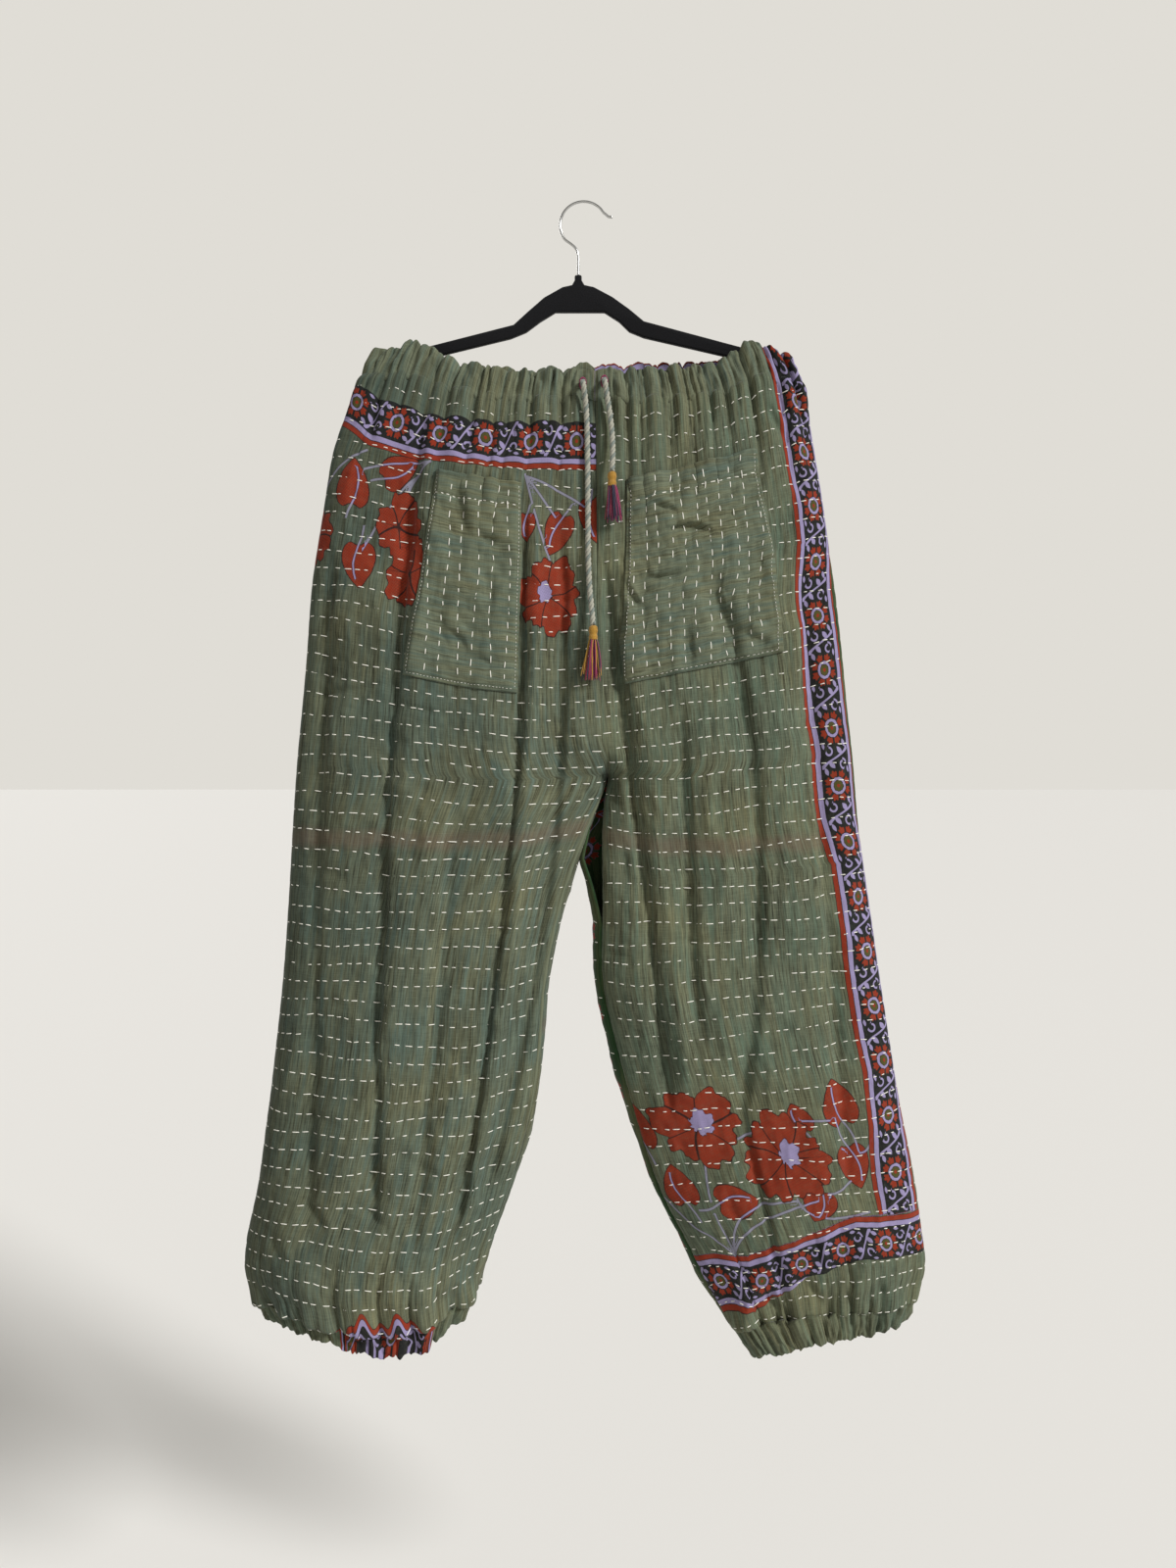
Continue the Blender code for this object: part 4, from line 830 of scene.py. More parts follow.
# %% Motif tables, in millimetres on the cut
Bloom = namedtuple("Bloom", "u v wide high turn petals heart")
Leaf = namedtuple("Leaf", "u v length width turn tail")
Stem = namedtuple("Stem", "u0 v0 u1 v1 u2 v2")
Spray = namedtuple("Spray", "blooms leaves stems")


def spray(blooms, leaves, stems):
    return Spray(table(Bloom, *blooms), table(Leaf, *leaves), table(Stem, *stems))


# turn is in degrees: 0 points along u, 90 down the cloth.
SPRAYS = {
    "front_left": spray(
        [
            (236, 697, 48, 40, 20, 6, 13), (156, 731, 46, 46, -15, 7, 12),
        ],
        [
            (86, 702, 42, 40, -85, 30), (87, 726, 40, 37, 95, 30), (127, 764, 34, 38, 58, 30),
            (238, 772, 42, 37, 182, 26), (274, 772, 38, 38, -85, 20), (299, 716, 40, 36, -90, 20),
            (130, 706, 28, 28, -75, 10),
        ],
        [
            (240, 736, 252, 780, 246, 824), (158, 772, 232, 770, 246, 824), (120, 770, 226, 790, 246, 824),
            (96, 760, 120, 772, 126, 764), (92, 700, 150, 690, 196, 710), (296, 770, 276, 800, 248, 824),
            (92, 728, 70, 740, 62, 722), (155, 772, 150, 800, 84, 788),
        ],
    ),
    "front_right": spray(
        [
            (94, 142, 26, 34, 10, 5, 0), (110, 186, 27, 36, 50, 5, 0), (252, 190, 34, 41, 40, 6, 9),
            (2, 165, 24, 34, 0, 6, 0),
        ],
        [
            (72, 100, 40, 34, -35, 16), (41, 130, 44, 36, -95, 16), (54, 168, 42, 35, 80, 20),
            (266, 112, 40, 30, 110, 14), (294, 98, 42, 30, 80, 12), (228, 112, 26, 20, 90, 10),
        ],
        [
            (101, 133, 92, 100, 118, 78), (46, 96, 66, 84, 118, 78), (58, 172, 78, 120, 118, 78),
            (252, 152, 236, 110, 224, 76), (262, 118, 244, 96, 224, 76), (294, 108, 262, 86, 224, 76),
            (6, 118, 24, 90, 46, 78),
        ],
    ),
    "back_right": spray(
        [
            (208, 172, 34, 34, 15, 8, 10), (92, 610, 42, 40, 0, 8, 12), (196, 690, 40, 42, 30, 8, 12),
        ],
        [
            (150, 120, 34, 26, 70, 18), (238, 100, 32, 24, 110, 16), (60, 700, 36, 28, 70, 24),
            (150, 640, 36, 28, -60, 20), (240, 620, 34, 27, -100, 20), (140, 760, 34, 26, 100, 20),
        ],
        [
            (208, 138, 196, 104, 186, 80), (150, 120, 166, 94, 186, 80), (238, 100, 212, 86, 186, 80),
            (92, 650, 104, 740, 128, 800), (196, 732, 170, 776, 128, 800), (60, 700, 92, 760, 128, 800),
        ],
    ),
}
print({name: len(spray.blooms) + len(spray.leaves) for name, spray in SPRAYS.items()}, "motifs")

# %% Distances to the motifs
FAR = 60.0
PETAL_DEPTH, NOTCH_DEPTH, NOTCH_WIDTH = 0.27, 0.12, 0.07


def bloom_fields(b, u, v):
    """Distances outside a bloom, from its petals' borders (signed) and outside its heart."""
    x, y = (u - b.u) / b.wide, (v - b.v) / b.high
    size = (b.wide + b.high) / 2
    r, angle = np.hypot(x, y), np.arctan2(y, x) - radians(b.turn)
    lobe = np.abs(np.sin(b.petals * angle / 2))
    uneven = 0.09 * np.sin(3 * angle + b.u) + 0.05 * np.sin(7 * angle + b.v) + 0.02 * np.sin(23 * angle)
    notch = NOTCH_DEPTH * bell(lobe - 1, NOTCH_WIDTH)
    edge = 1 - PETAL_DEPTH * (1 - lobe**0.55) - notch + uneven
    curl = angle + 0.35 * (1 - r) * np.sin(b.petals / 2 * angle + b.v)
    border = np.sin(b.petals * curl / 2) * 2 / b.petals * r * size
    ragged = b.heart * (1 + 0.16 * np.sin(7 * angle + b.u) + 0.10 * np.sin(15 * angle))
    off_centre = np.hypot((x + 0.12) * 1.25, y + 0.10) * size
    return (r - edge) * size, border, off_centre - ragged


def leaf_fields(leaf, u, v):
    """Distance outside a heart-shaped leaf, and the signed distance from its rib."""
    a = radians(leaf.turn)
    p = ((u - leaf.u) * cos(a) + (v - leaf.v) * sin(a)) / leaf.length
    q = (v - leaf.v) * cos(a) - (u - leaf.u) * sin(a)
    bow = leaf.width * 0.16 * np.sin(pi * np.clip(p, -0.5, 1))
    inside = np.clip(p + 0.12, 0, 1.12)
    half = leaf.width * 0.95 * inside**0.42 * np.clip(1 - p, 0, 1) ** 0.85
    notch = 0.12 * leaf.length * bell(q, 0.2 * leaf.width)
    base = notch - (p + 0.12) * leaf.length
    return np.maximum(np.maximum(np.abs(q) - half, base), (p - 1) * leaf.length), q - bow, p


def stem_distance(stem, u, v, steps=14):
    """Signed and plain distance from a stem, a curve bent by its middle point."""
    t = np.linspace(0, 1, steps + 1)[:, None]
    p = np.array(stem, float).reshape(3, 2)
    curve = p[0] * (1 - t) ** 2 + p[1] * 2 * t * (1 - t) + p[2] * t**2
    signed, plain = np.full_like(u, FAR), np.full_like(u, FAR)
    for a, b in zip(curve, curve[1:]):
        d = b - a
        length = np.hypot(*d)
        along = np.clip(((u - a[0]) * d[0] + (v - a[1]) * d[1]) / length**2, 0, 1)
        away = np.hypot(u - a[0] - along * d[0], v - a[1] - along * d[1])
        side = ((u - a[0]) * d[1] - (v - a[1]) * d[0]) / length
        nearer = away < plain
        signed, plain = np.where(nearer, side, signed), np.where(nearer, away, plain)
    return signed, plain


def spray_fields(spray, u, v):
    labels = ("bloom", "petal", "heart", "leaf", "line", "line_near")
    fields = {label: np.full_like(u, FAR) for label in labels}
    for stem in spray.stems:
        signed, plain = stem_distance(stem, u, v)
        nearer = plain < fields["line_near"]
        fields["line"] = np.where(nearer, signed, fields["line"])
        fields["line_near"] = np.where(nearer, plain, fields["line_near"])
    for b in spray.blooms:
        outside, border, heart = bloom_fields(b, u, v)
        nearer = outside < fields["bloom"]
        for label, values in (("bloom", outside), ("petal", border), ("heart", heart)):
            fields[label] = np.where(nearer, values, fields[label])
    for leaf in spray.leaves:
        outside, rib, p = leaf_fields(leaf, u, v)
        fields["leaf"] = np.minimum(fields["leaf"], outside)
        on_rib = (p > -leaf.tail / leaf.length) & (p < 0.82) & (np.abs(rib) < 5)
        fields["line"] = np.where(on_rib, rib, fields["line"])
        fields["line_near"] = np.where(on_rib, np.abs(rib), fields["line_near"])
    return fields


# %% [markdown]
# ## Printed borders
# A border follows the cloth's edges, and needs only two numbers at each point: how far along it the point
# lies, which its UV gives, and how far across. The middle of each border is a short table on the cut,
# because the old cloth was cut a little askew to its own print.

# %% Borders on the cut
BORDER_HALF = 27.5
SIDE_DRIFT, SIDE_DRIFT_FROM, SIDE_DRIFT_RUN = 18.0, 640.0, 160.0
BORDER_MIDDLES = {
    "front_right": ((0, 26), (48, 45), (101, 49), (181, 44), (250, 41), (300, 42)),
    "front_left": ((0, 824), (100, 818), (178, 840), (233, 853), (300, 854)),
    "back_right": ((0, 30), (100, 42), (200, 46), (300, 42)),
}
HEM_PATCH_MIDDLE, HEM_PATCH_FROM, HEM_PATCH_TO = 905.0, 138.0, 216.0
HEM_PATCH_CRUSH, HEM_PATCH_LOW, HEM_PATCH_ARCH = 1.4, -11, 9
HEM_PATCH_WAVES = ((4, 6.5, 0), (2.5, 2.9, 1))  # height, length and start


def border_fields(name, u, v):
    """How far across the panel's two borders each point is. Beyond half a border there is none."""
    across, side = np.full_like(u, FAR), np.full_like(u, FAR)
    if name in BORDER_MIDDLES:
        middle = np.interp(u, *zip(*BORDER_MIDDLES[name]))
        across = np.clip(middle - v if name == "front_left" else v - middle, -FAR, FAR)
    if name == "front_left":
        side = BORDER_HALF + SIDE_DRIFT * smooth_step((v - SIDE_DRIFT_FROM) / SIDE_DRIFT_RUN) - u
        side = np.where(across < BORDER_HALF + 0.3, FAR, side)
    if name == "front_right":
        line = HEM_PATCH_MIDDLE + HEM_PATCH_ARCH * ((u - (HEM_PATCH_FROM + HEM_PATCH_TO) / 2) / 50) ** 4
        for height, length, start in HEM_PATCH_WAVES:
            line = line + height * np.sin(u / length + start)
        edge = np.maximum(HEM_PATCH_FROM - u, u - HEM_PATCH_TO) * 3 - BORDER_HALF
        side = np.clip(np.maximum((line - v) * HEM_PATCH_CRUSH, edge), HEM_PATCH_LOW, FAR)
    return {"across": across, "side_across": side}


# %% [markdown]
# ## Shaders
# Materials are built from groups, each one effect with named inputs, so the same washed cloth or printed
# flower serves many pieces. Math nodes are clumsy to write out, so a small class lets plain arithmetic add
# them. All colours are given as bytes, as one reads them off a screen.

# %% Numbers in a shader
def colour(r, g, b):
    """A linear colour from the bytes of a screen colour."""
    screen = (r / 255, g / 255, b / 255)
    linear = [c / 12.92 if c <= 0.04045 else ((c + 0.055) / 1.055) ** 2.4 for c in screen]
    return (*linear, 1.0)


class Num:
    """A number in a node tree. Arithmetic on it adds math nodes, and | and & pick the larger or smaller."""

    def __init__(self, tree, socket):
        self.tree, self.socket = tree, socket

    def math(self, operation, *others):
        node = self.tree.nodes.new("ShaderNodeMath")
        node.operation = operation
        for slot, value in zip(node.inputs, (self, *others)):
            feed(self.tree, slot, value)
        return Num(self.tree, node.outputs[0])

    def __rsub__(self, other):
        return self * -1 + other

    def below(self, edge, soft=0.35):
        """1 where this is under the edge and 0 above it, with a soft step."""
        return ((self * -1 + edge) / soft + 0.5 | 0) & 1

    def above(self, edge, soft=0.35):
        return ((self - edge) / soft + 0.5 | 0) & 1

    def size(self):
        return self.math("ABSOLUTE")


OPERATORS = {"add": "ADD", "sub": "SUBTRACT", "mul": "MULTIPLY", "truediv": "DIVIDE"}
OPERATORS.update({"or": "MAXIMUM", "and": "MINIMUM"})
for sign, operation in OPERATORS.items():
    setattr(Num, f"__{sign}__", lambda self, other, operation=operation: self.math(operation, other))


def feed(tree, slot, value):
    """Sets an input, or links it to a number or a socket."""
    if isinstance(value, Num):
        tree.links.new(value.socket, slot)
    elif isinstance(value, bpy.types.NodeSocket):
        tree.links.new(value, slot)
    else:
        slot.default_value = value


def fill(tree, node, **values):
    """Feeds a node's inputs by their names, with _ for a space. Returns its outputs."""
    for label, value in values.items():
        feed(tree, node.inputs[label.replace("_", " ")], value)
    return node.outputs


def blend(tree, factor, under, over, way="MIX"):
    node = tree.nodes.new("ShaderNodeMix")
    node.data_type, node.blend_type = "RGBA", way
    return fill(tree, node, Factor=factor, A=under, B=over)["Result"]


def split(tree, vector):
    """The x and y of a vector, times 1000, so that metres on the cut become millimetres."""
    node = tree.nodes.new("ShaderNodeSeparateXYZ")
    feed(tree, node.inputs[0], vector)
    return Num(tree, node.outputs[0]) * 1000, Num(tree, node.outputs[1]) * 1000


def noise(tree, u, v, wide, high, detail=2.0, rough=0.5):
    """Noise about 0.5 whose patches are this wide and high."""
    join = tree.nodes.new("ShaderNodeCombineXYZ")
    fill(tree, join, X=u / wide, Y=v / high)
    node = tree.nodes.new("ShaderNodeTexNoise")
    node.noise_dimensions = "2D"
    outputs = fill(tree, node, Vector=join.outputs[0], Scale=1.0, Detail=detail, Roughness=rough)
    return Num(tree, outputs["Fac"])


def new_group(name, inputs, outputs):
    """A node group with its sockets. Returns the tree, its inputs and a function that sets an output."""
    tree = bpy.data.node_groups.new(name, "ShaderNodeTree")
    for way, labels in (("INPUT", inputs), ("OUTPUT", outputs)):
        for label, kind in labels.items():
            tree.interface.new_socket(label, in_out=way, socket_type="NodeSocket" + kind)
    begin, end = tree.nodes.new("NodeGroupInput"), tree.nodes.new("NodeGroupOutput")
    sockets = {
        label: Num(tree, begin.outputs[label]) if kind == "Float" else begin.outputs[label]
        for label, kind in inputs.items()
    }
    return tree, sockets, lambda label, value: feed(tree, end.inputs[label], value)


def use_group(tree, group, **values):
    node = tree.nodes.new("ShaderNodeGroup")
    node.node_tree = group
    return fill(tree, node, **values)


PRINT = {"Color": "Color", "Mask": "Float"}
RUST, LAVENDER, PRINT_BLACK = colour(128, 42, 24), colour(140, 130, 166), colour(25, 25, 27)
OLIVE_BROWN, DARK_LINE = colour(70, 66, 30), colour(46, 22, 22)
print("rust is", [round(c, 3) for c in RUST])


# %% Washed cotton
# Hand-woven cotton dyed in the yarn: fine threads down the cloth, longer streaks where the dye took
# unevenly, and the soft blotches of many washes.
def washed_cotton():
    tree, given, give = new_group(
        "Washed cotton",
        {
            "Cut": "Vector", "Base": "Color", "Tint": "Color", "Warm": "Color",
            "Contrast": "Float", "Turned": "Float",
        },
        {"Color": "Color", "Height": "Float"},
    )
    x, y = split(tree, given["Cut"])
    u = x + (y - x) * given["Turned"]
    v = y + (x - y) * given["Turned"]
    threads = noise(tree, u, v, 0.8, 22, 2.0, 0.6) - 0.5
    ribs = noise(tree, u + 200, v, 1.9, 60, 3.0, 0.65) - 0.5
    cross = noise(tree, u, v, 14, 0.9, 2.0) - 0.5
    streaks = noise(tree, u + 400, v, 6.0, 110, 3.0, 0.7) - 0.5
    blocks = noise(tree, u + 900, v, 24, 55, 3.0, 0.6) - 0.5
    patches = noise(tree, x, y + 300, 75, 95, 3.0) - 0.5
    shade = threads * 1.3 + ribs * 1.9 + cross * 0.5 + streaks * 1.2 + blocks * 0.5 + patches * 0.4
    shade = shade * given["Contrast"] + 1.0 | 0.3
    tinted = (streaks * 2.2 + blocks * 1.3 + ribs + 0.45).above(0.5, 1.0)
    toned = blend(tree, tinted, given["Base"], given["Tint"])
    toned = blend(tree, (patches * 1.6 - streaks * 1.4 + 0.22).above(0.5, 1.0), toned, given["Warm"])
    grey = tree.nodes.new("ShaderNodeCombineXYZ")
    for slot in grey.inputs:
        feed(tree, slot, shade)
    give("Color", blend(tree, 1.0, toned, grey.outputs[0], "MULTIPLY"))
    give("Height", threads * 0.5 + ribs * 0.5 + cross * 0.5)
    return tree


# %% Printed flower
# One round flower of the border: a rust dot in an olive disc, a lavender ring, then notched petals.
def printed_flower():
    tree, given, give = new_group(
        "Printed flower", {"A": "Float", "C": "Float", "Ragged": "Float"}, PRINT
    )
    a, c = given["A"], given["C"]
    r = (a * a + c * c).math("SQRT") + given["Ragged"]
    angle = c.math("ARCTAN2", a)
    wave = (angle * 4).math("SINE").size()
    third = (angle * 12).math("SINE").size()
    reach = wave * 3.2 + third * 2.0 + 10.0
    gaps = (wave * r).above(4.6, 2.2)
    petals = (reach - r).above(0, 0.6) * r.above(8.9) * gaps
    ring, disc, dot = r.below(8.0), r.below(4.9), r.below(1.7)
    paint = blend(tree, r.below(8.6), RUST, PRINT_BLACK)
    paint = blend(tree, ring, paint, LAVENDER)
    paint = blend(tree, r.below(5.5), paint, PRINT_BLACK)
    paint = blend(tree, disc, paint, OLIVE_BROWN)
    paint = blend(tree, dot, paint, RUST)
    give("Color", paint)
    give("Mask", petals | r.below(8.6))
    return tree


# %% Printed border
# Stripes of rust and lavender on both sides of a black band, flowers every 52 mm and a curling vine
# with leaves between them. Across is 0 in the middle, and Outer drops the stripes on its low side.
BORDER_PERIOD = 52.0


def wrapped(number, period):
    """A number folded into the range from minus to plus half a period."""
    return ((number / period).math("FRACT") - 0.5) * period


def pointed_leaf(a, c, at_a, at_c, turn, length, width):
    """1 inside a small leaf with two pointed ends."""
    t = radians(turn)
    p = (a - at_a) * cos(t) + (c - at_c) * sin(t)
    q = (c - at_c) * cos(t) - (a - at_a) * sin(t)
    half = 1 - (p / (length / 2)) * (p / (length / 2))
    return (half * (width / 2) - q.size()).above(0, 0.5)


def printed_border():
    tree, given, give = new_group(
        "Printed border",
        {"Along": "Float", "Across": "Float", "Outer": "Float"},
        PRINT,
    )
    along, across = given["Along"], given["Across"]
    ragged = (noise(tree, along, across, 2.2, 2.2, 1.0) - 0.5) * 1.3
    flower = use_group(tree, PRINTED_FLOWER, A=wrapped(along, BORDER_PERIOD), C=across, Ragged=ragged)
    b = wrapped(along + BORDER_PERIOD / 2, BORDER_PERIOD)
    s_line = (across + (b * 0.16).math("SINE") * 13 + b * 0.25).size()
    vine = (s_line * 0.55).below(1.2, 0.4) * b.size().below(10.0) * across.size().below(15.6)
    for at_b, at_c, gap in ((-6.4, -7.6, 1), (6.4, 7.6, -1)):
        p, q = b - at_b, across - at_c
        reach = (p * p + q * q).math("SQRT") + (q.math("ARCTAN2", p) * gap) * 0.35
        vine = vine | (reach - 3.9).size().below(0.95) * (q * gap + p * 0.6 * gap).above(-3.6)
    leaves = ((6.2, -5.0, 40, 9.0, 4.8), (12.5, -11.5, 20, 7.5, 3.8), (-11.0, -14.0, 5, 6.5, 2.8))
    for at_b, at_c, *leaf in leaves:
        for side in (1, -1):  # each leaf has a twin, turned by half a circle
            vine = vine | pointed_leaf(b, across, side * at_b, side * at_c, *leaf)
    paint = blend(tree, vine, PRINT_BLACK, LAVENDER)
    paint = blend(tree, flower["Mask"], paint, flower["Color"])
    c = across.size() + ragged * 0.25
    paint = blend(tree, c.above(16.9), paint, LAVENDER)
    paint = blend(tree, c.above(21.6), paint, PRINT_BLACK)
    paint = blend(tree, c.above(22.3), paint, RUST)
    paint = blend(tree, c.above(26.9), paint, PRINT_BLACK)
    limit = (across * -1).above(0, 0.1) * (given["Outer"] * -1 + 1) * 11 * -1 + BORDER_HALF
    give("Color", paint)
    give("Mask", (limit - c).above(0, 0.4))
    return tree


WASHED, PRINTED_FLOWER = washed_cotton(), printed_flower()
BORDER = printed_border()
print("groups:", [group.name for group in bpy.data.node_groups])


# %% Printed spray
# Turns the distances kept on the cloth into petals, hearts, leaves and stems with crisp edges. The fine
# cross hatching is what remains of the block's carved lines once its ink has soaked in.
def printed_spray():
    labels = ("Bloom", "Petal", "Heart", "Leaf", "Line", "Near")
    tree, given, give = new_group(
        "Printed spray", {"Cut": "Vector", **dict.fromkeys(labels, "Float")}, PRINT
    )
    u, v = split(tree, given["Cut"])
    ragged = (noise(tree, u, v, 1.6, 1.6, 1.0) - 0.5) * 0.9
    bloom, leaf, heart = given["Bloom"] + ragged, given["Leaf"] + ragged, given["Heart"] + ragged
    hatch = wrapped(u + v * 0.6, 2.2).size().below(0.4, 0.4)
    hatch = hatch | wrapped(v - u * 0.4, 2.6).size().below(0.34, 0.4)
    blotch = (noise(tree, u, v, 9, 9, 2.0) - 0.35).above(0, 0.8)
    rust = blend(tree, blotch * 0.6, colour(122, 38, 20), colour(146, 54, 30))
    rust = blend(tree, hatch * 0.34, rust, DARK_LINE)
    line = given["Line"].size() + ragged * 0.2
    stem = line.below(1.05) * given["Near"].below(3.2, 0.3)
    stem_edge = line.below(1.5) * given["Near"].below(3.2, 0.3)
    paint = blend(tree, stem, colour(60, 58, 56), colour(130, 128, 146))
    mask = stem_edge * 0.9
    rib = line.below(0.85) * given["Near"].below(4.5, 0.3)
    rib_edge = line.below(1.35) * given["Near"].below(4.5, 0.3)
    green = blend(tree, leaf.size().below(0.75), rust, DARK_LINE)
    green = blend(tree, rib_edge, green, DARK_LINE)
    green = blend(tree, rib, green, LAVENDER)
    paint = blend(tree, leaf.below(0.3), paint, green)
    mask = mask | leaf.below(0.3)
    petal_line = given["Petal"].size().below(0.75, 0.5)
    petals = blend(tree, bloom.size().below(0.8) | petal_line, rust, DARK_LINE)
    middle = blend(tree, hatch * 0.25, LAVENDER, colour(80, 72, 92))
    petals = blend(tree, heart.below(0.9), petals, DARK_LINE)
    petals = blend(tree, heart.below(0.2), petals, middle)
    give("Color", blend(tree, bloom.below(0.3), paint, petals))
    give("Mask", mask | bloom.below(0.3))
    return tree


# %% Dark print
# The left leg's back was cut from another old cloth: dark green, with the same flowers thrown over it in
# a half-drop repeat, where each column is moved down by half a flower.
DARK_REPEAT = 74.0


def dark_print():
    tree, given, give = new_group("Dark print", {"Cut": "Vector"}, PRINT)
    u, v = split(tree, given["Cut"])
    ragged = (noise(tree, u, v, 2.2, 2.2, 1.0) - 0.5) * 1.2
    column = (u / (DARK_REPEAT / 2)).math("FLOOR")
    a = wrapped(u, DARK_REPEAT / 2)
    c = wrapped(v + column * DARK_REPEAT / 2, DARK_REPEAT)
    flower = use_group(tree, PRINTED_FLOWER, A=a, C=c, Ragged=ragged)
    b = c.size() - DARK_REPEAT / 2
    leaves = pointed_leaf(a, b, 0, 0, 20, 15, 7) | pointed_leaf(a, b, 6, -12, 60, 12, 5)
    vein = (a * cos(radians(20)) * 0.35 - b).size().below(0.6)
    stems = (a - (b * 0.25).math("SINE") * 3).size().below(0.6) * b.above(-20)
    paint = blend(tree, leaves, LAVENDER, RUST)
    paint = blend(tree, leaves * vein, paint, LAVENDER)
    paint = blend(tree, flower["Mask"], paint, flower["Color"])
    give("Color", paint)
    give("Mask", leaves | stems | Num(tree, flower["Mask"]))
    return tree


SPRAY, DARK_PRINT = printed_spray(), dark_print()


# %% [markdown]
# ## Materials
# Each material sets its own shader and lets the groups feed it colour and height. Soft cotton scatters a
# little light at a grazing angle, so it gets some sheen and almost no gloss.

# %% Cloth materials
def new_material(name, roughness, specular=0.2, sheen=0.0, sheen_roughness=0.5):
    made = bpy.data.materials.new(name)
    made.use_nodes = True
    shader = made.node_tree.nodes["Principled BSDF"]
    fill(made.node_tree, shader, Roughness=roughness, Specular_IOR_Level=specular)
    fill(made.node_tree, shader, Sheen_Weight=sheen, Sheen_Roughness=sheen_roughness)
    return made, made.node_tree, shader


def bump(tree, shader, height, distance, strength=0.7):
    node = tree.nodes.new("ShaderNodeBump")
    fill(tree, node, Distance=distance * MM, Strength=strength, Height=height)
    tree.links.new(node.outputs[0], shader.inputs["Normal"])


def kept(tree, label):
    """A number kept at the cloth's points."""
    node = tree.nodes.new("ShaderNodeAttribute")
    node.attribute_name = label
    return Num(tree, node.outputs["Fac"])


# The deep teal is painted shade, laid on more strongly nearer a panel's side seam.
SIDE_SHADE_TEAL, FADED_PINK, WARM = colour(34, 46, 42), colour(108, 84, 72), colour(97, 95, 70)


def cloth_material(
    name, base, tint, contrast=1.0, turned=0.0,
    spray=False, border=None, side=None, dark=False, faded=None, side_shade=0,
):
    """Washed cotton with the prints that the piece has. border and side say if the outer stripes show."""
    made, tree, shader = new_material(name, 0.93, 0.1, 0.08, 0.45)
    cut = tree.nodes.new("ShaderNodeUVMap")
    cut.uv_map = "Cut"
    cut = cut.outputs[0]
    u, v = split(tree, cut)
    dyes = {"Base": base, "Tint": tint, "Warm": WARM}
    washed = use_group(tree, WASHED, Cut=cut, **dyes, Contrast=contrast, Turned=turned)
    paint = washed["Color"]
    # Painted shade: the cloth turns a deeper teal towards the side seam, more strongly the nearer it is.
    if side_shade:
        paint = blend(tree, ((u * -1 + 200) / 200 | 0) * side_shade, paint, SIDE_SHADE_TEAL)
    if faded:
        wave = (noise(tree, u, v, 60, 60) - 0.5) * 14
        strip = (v - faded + u * 0.05 + wave).size().below(8, 9)
        paint = blend(tree, strip * 0.3, paint, FADED_PINK)
    wear = (noise(tree, u, v, 5, 5, 3.0, 0.7) - 0.30).above(0, 0.5) * 0.22 + 0.74

    def over(paint, printed):
        """The paint with a worn print on it."""
        return blend(tree, wear * Num(tree, printed["Mask"]), paint, printed["Color"])

    if dark:
        paint = over(paint, use_group(tree, DARK_PRINT, Cut=cut))
    if spray:
        fields = {label.title(): kept(tree, label) for label in ("bloom", "petal", "heart", "leaf", "line")}
        paint = over(paint, use_group(tree, SPRAY, Cut=cut, Near=kept(tree, "line_near"), **fields))
    for outer, label, along in ((border, "across", u + 8), (side, "side_across", v if side else u - 2)):
        if outer is not None:
            shown = ((u - 165) / 70 | 0) & 1 if outer == "tapered" else float(outer)
            paint = over(paint, use_group(tree, BORDER, Along=along, Across=kept(tree, label), Outer=shown))
    tree.links.new(paint, shader.inputs["Base Color"])
    bump(tree, shader, washed["Height"], 0.30)
    return made


SAGE_RIGHT, SAGE_LEFT, SAGE_POCKET = colour(91, 97, 80), colour(95, 100, 82), colour(106, 112, 92)
TEAL, OLIVE = colour(70, 82, 73), colour(73, 85, 71)
DARK_BASE, DARK_TINT = colour(44, 68, 38), colour(34, 56, 34)
# The right leg's panels share the spray, the border and the painted shade at the side seam.
RIGHT_PRINTS_AND_SIDE_SHADE = {"spray": True, "border": 0, "side_shade": 0.36}
looks = {
    "front_right": cloth_material("Sage front right", SAGE_RIGHT, TEAL, side=0, faded=448, **RIGHT_PRINTS_AND_SIDE_SHADE),
    "front_left": cloth_material(
        "Sage front left", SAGE_LEFT, OLIVE, spray=True, border="tapered", side=1, faded=444
    ),
    "back_right": cloth_material("Sage back right", SAGE_RIGHT, TEAL, faded=640, **RIGHT_PRINTS_AND_SIDE_SHADE),
    "back_left": cloth_material("Dark print", DARK_BASE, DARK_TINT, 0.7, dark=True, border=1),
    "casing": cloth_material("Sage casing", SAGE_POCKET, TEAL, 0.9, border=0, side=1),
    "hem": cloth_material("Sage hem", colour(90, 96, 79), OLIVE, 0.9, side=0),
    "pocket": cloth_material("Sage pocket", SAGE_POCKET, TEAL, 0.8, turned=1.0),
}
print(len(looks), "cloth materials")


# %% Thread, velvet and steel
def grain(tree, scale, detail=2.0):
    """Fine noise fixed to the piece itself."""
    place_in = tree.nodes.new("ShaderNodeTexCoord").outputs["Object"]
    node = tree.nodes.new("ShaderNodeTexNoise")
    return Num(tree, fill(tree, node, Vector=place_in, Scale=scale, Detail=detail)["Fac"])


def thread_material(name, base, variation):
    made, tree, shader = new_material(name, 0.8, 0.3, 0.3)
    fibre = grain(tree, 900.0)
    shade = (fibre - 0.25).above(0, 1.0) * variation
    tree.links.new(blend(tree, shade, base, colour(60, 60, 54)), shader.inputs["Base Color"])
    bump(tree, shader, fibre, 0.15)
    return made


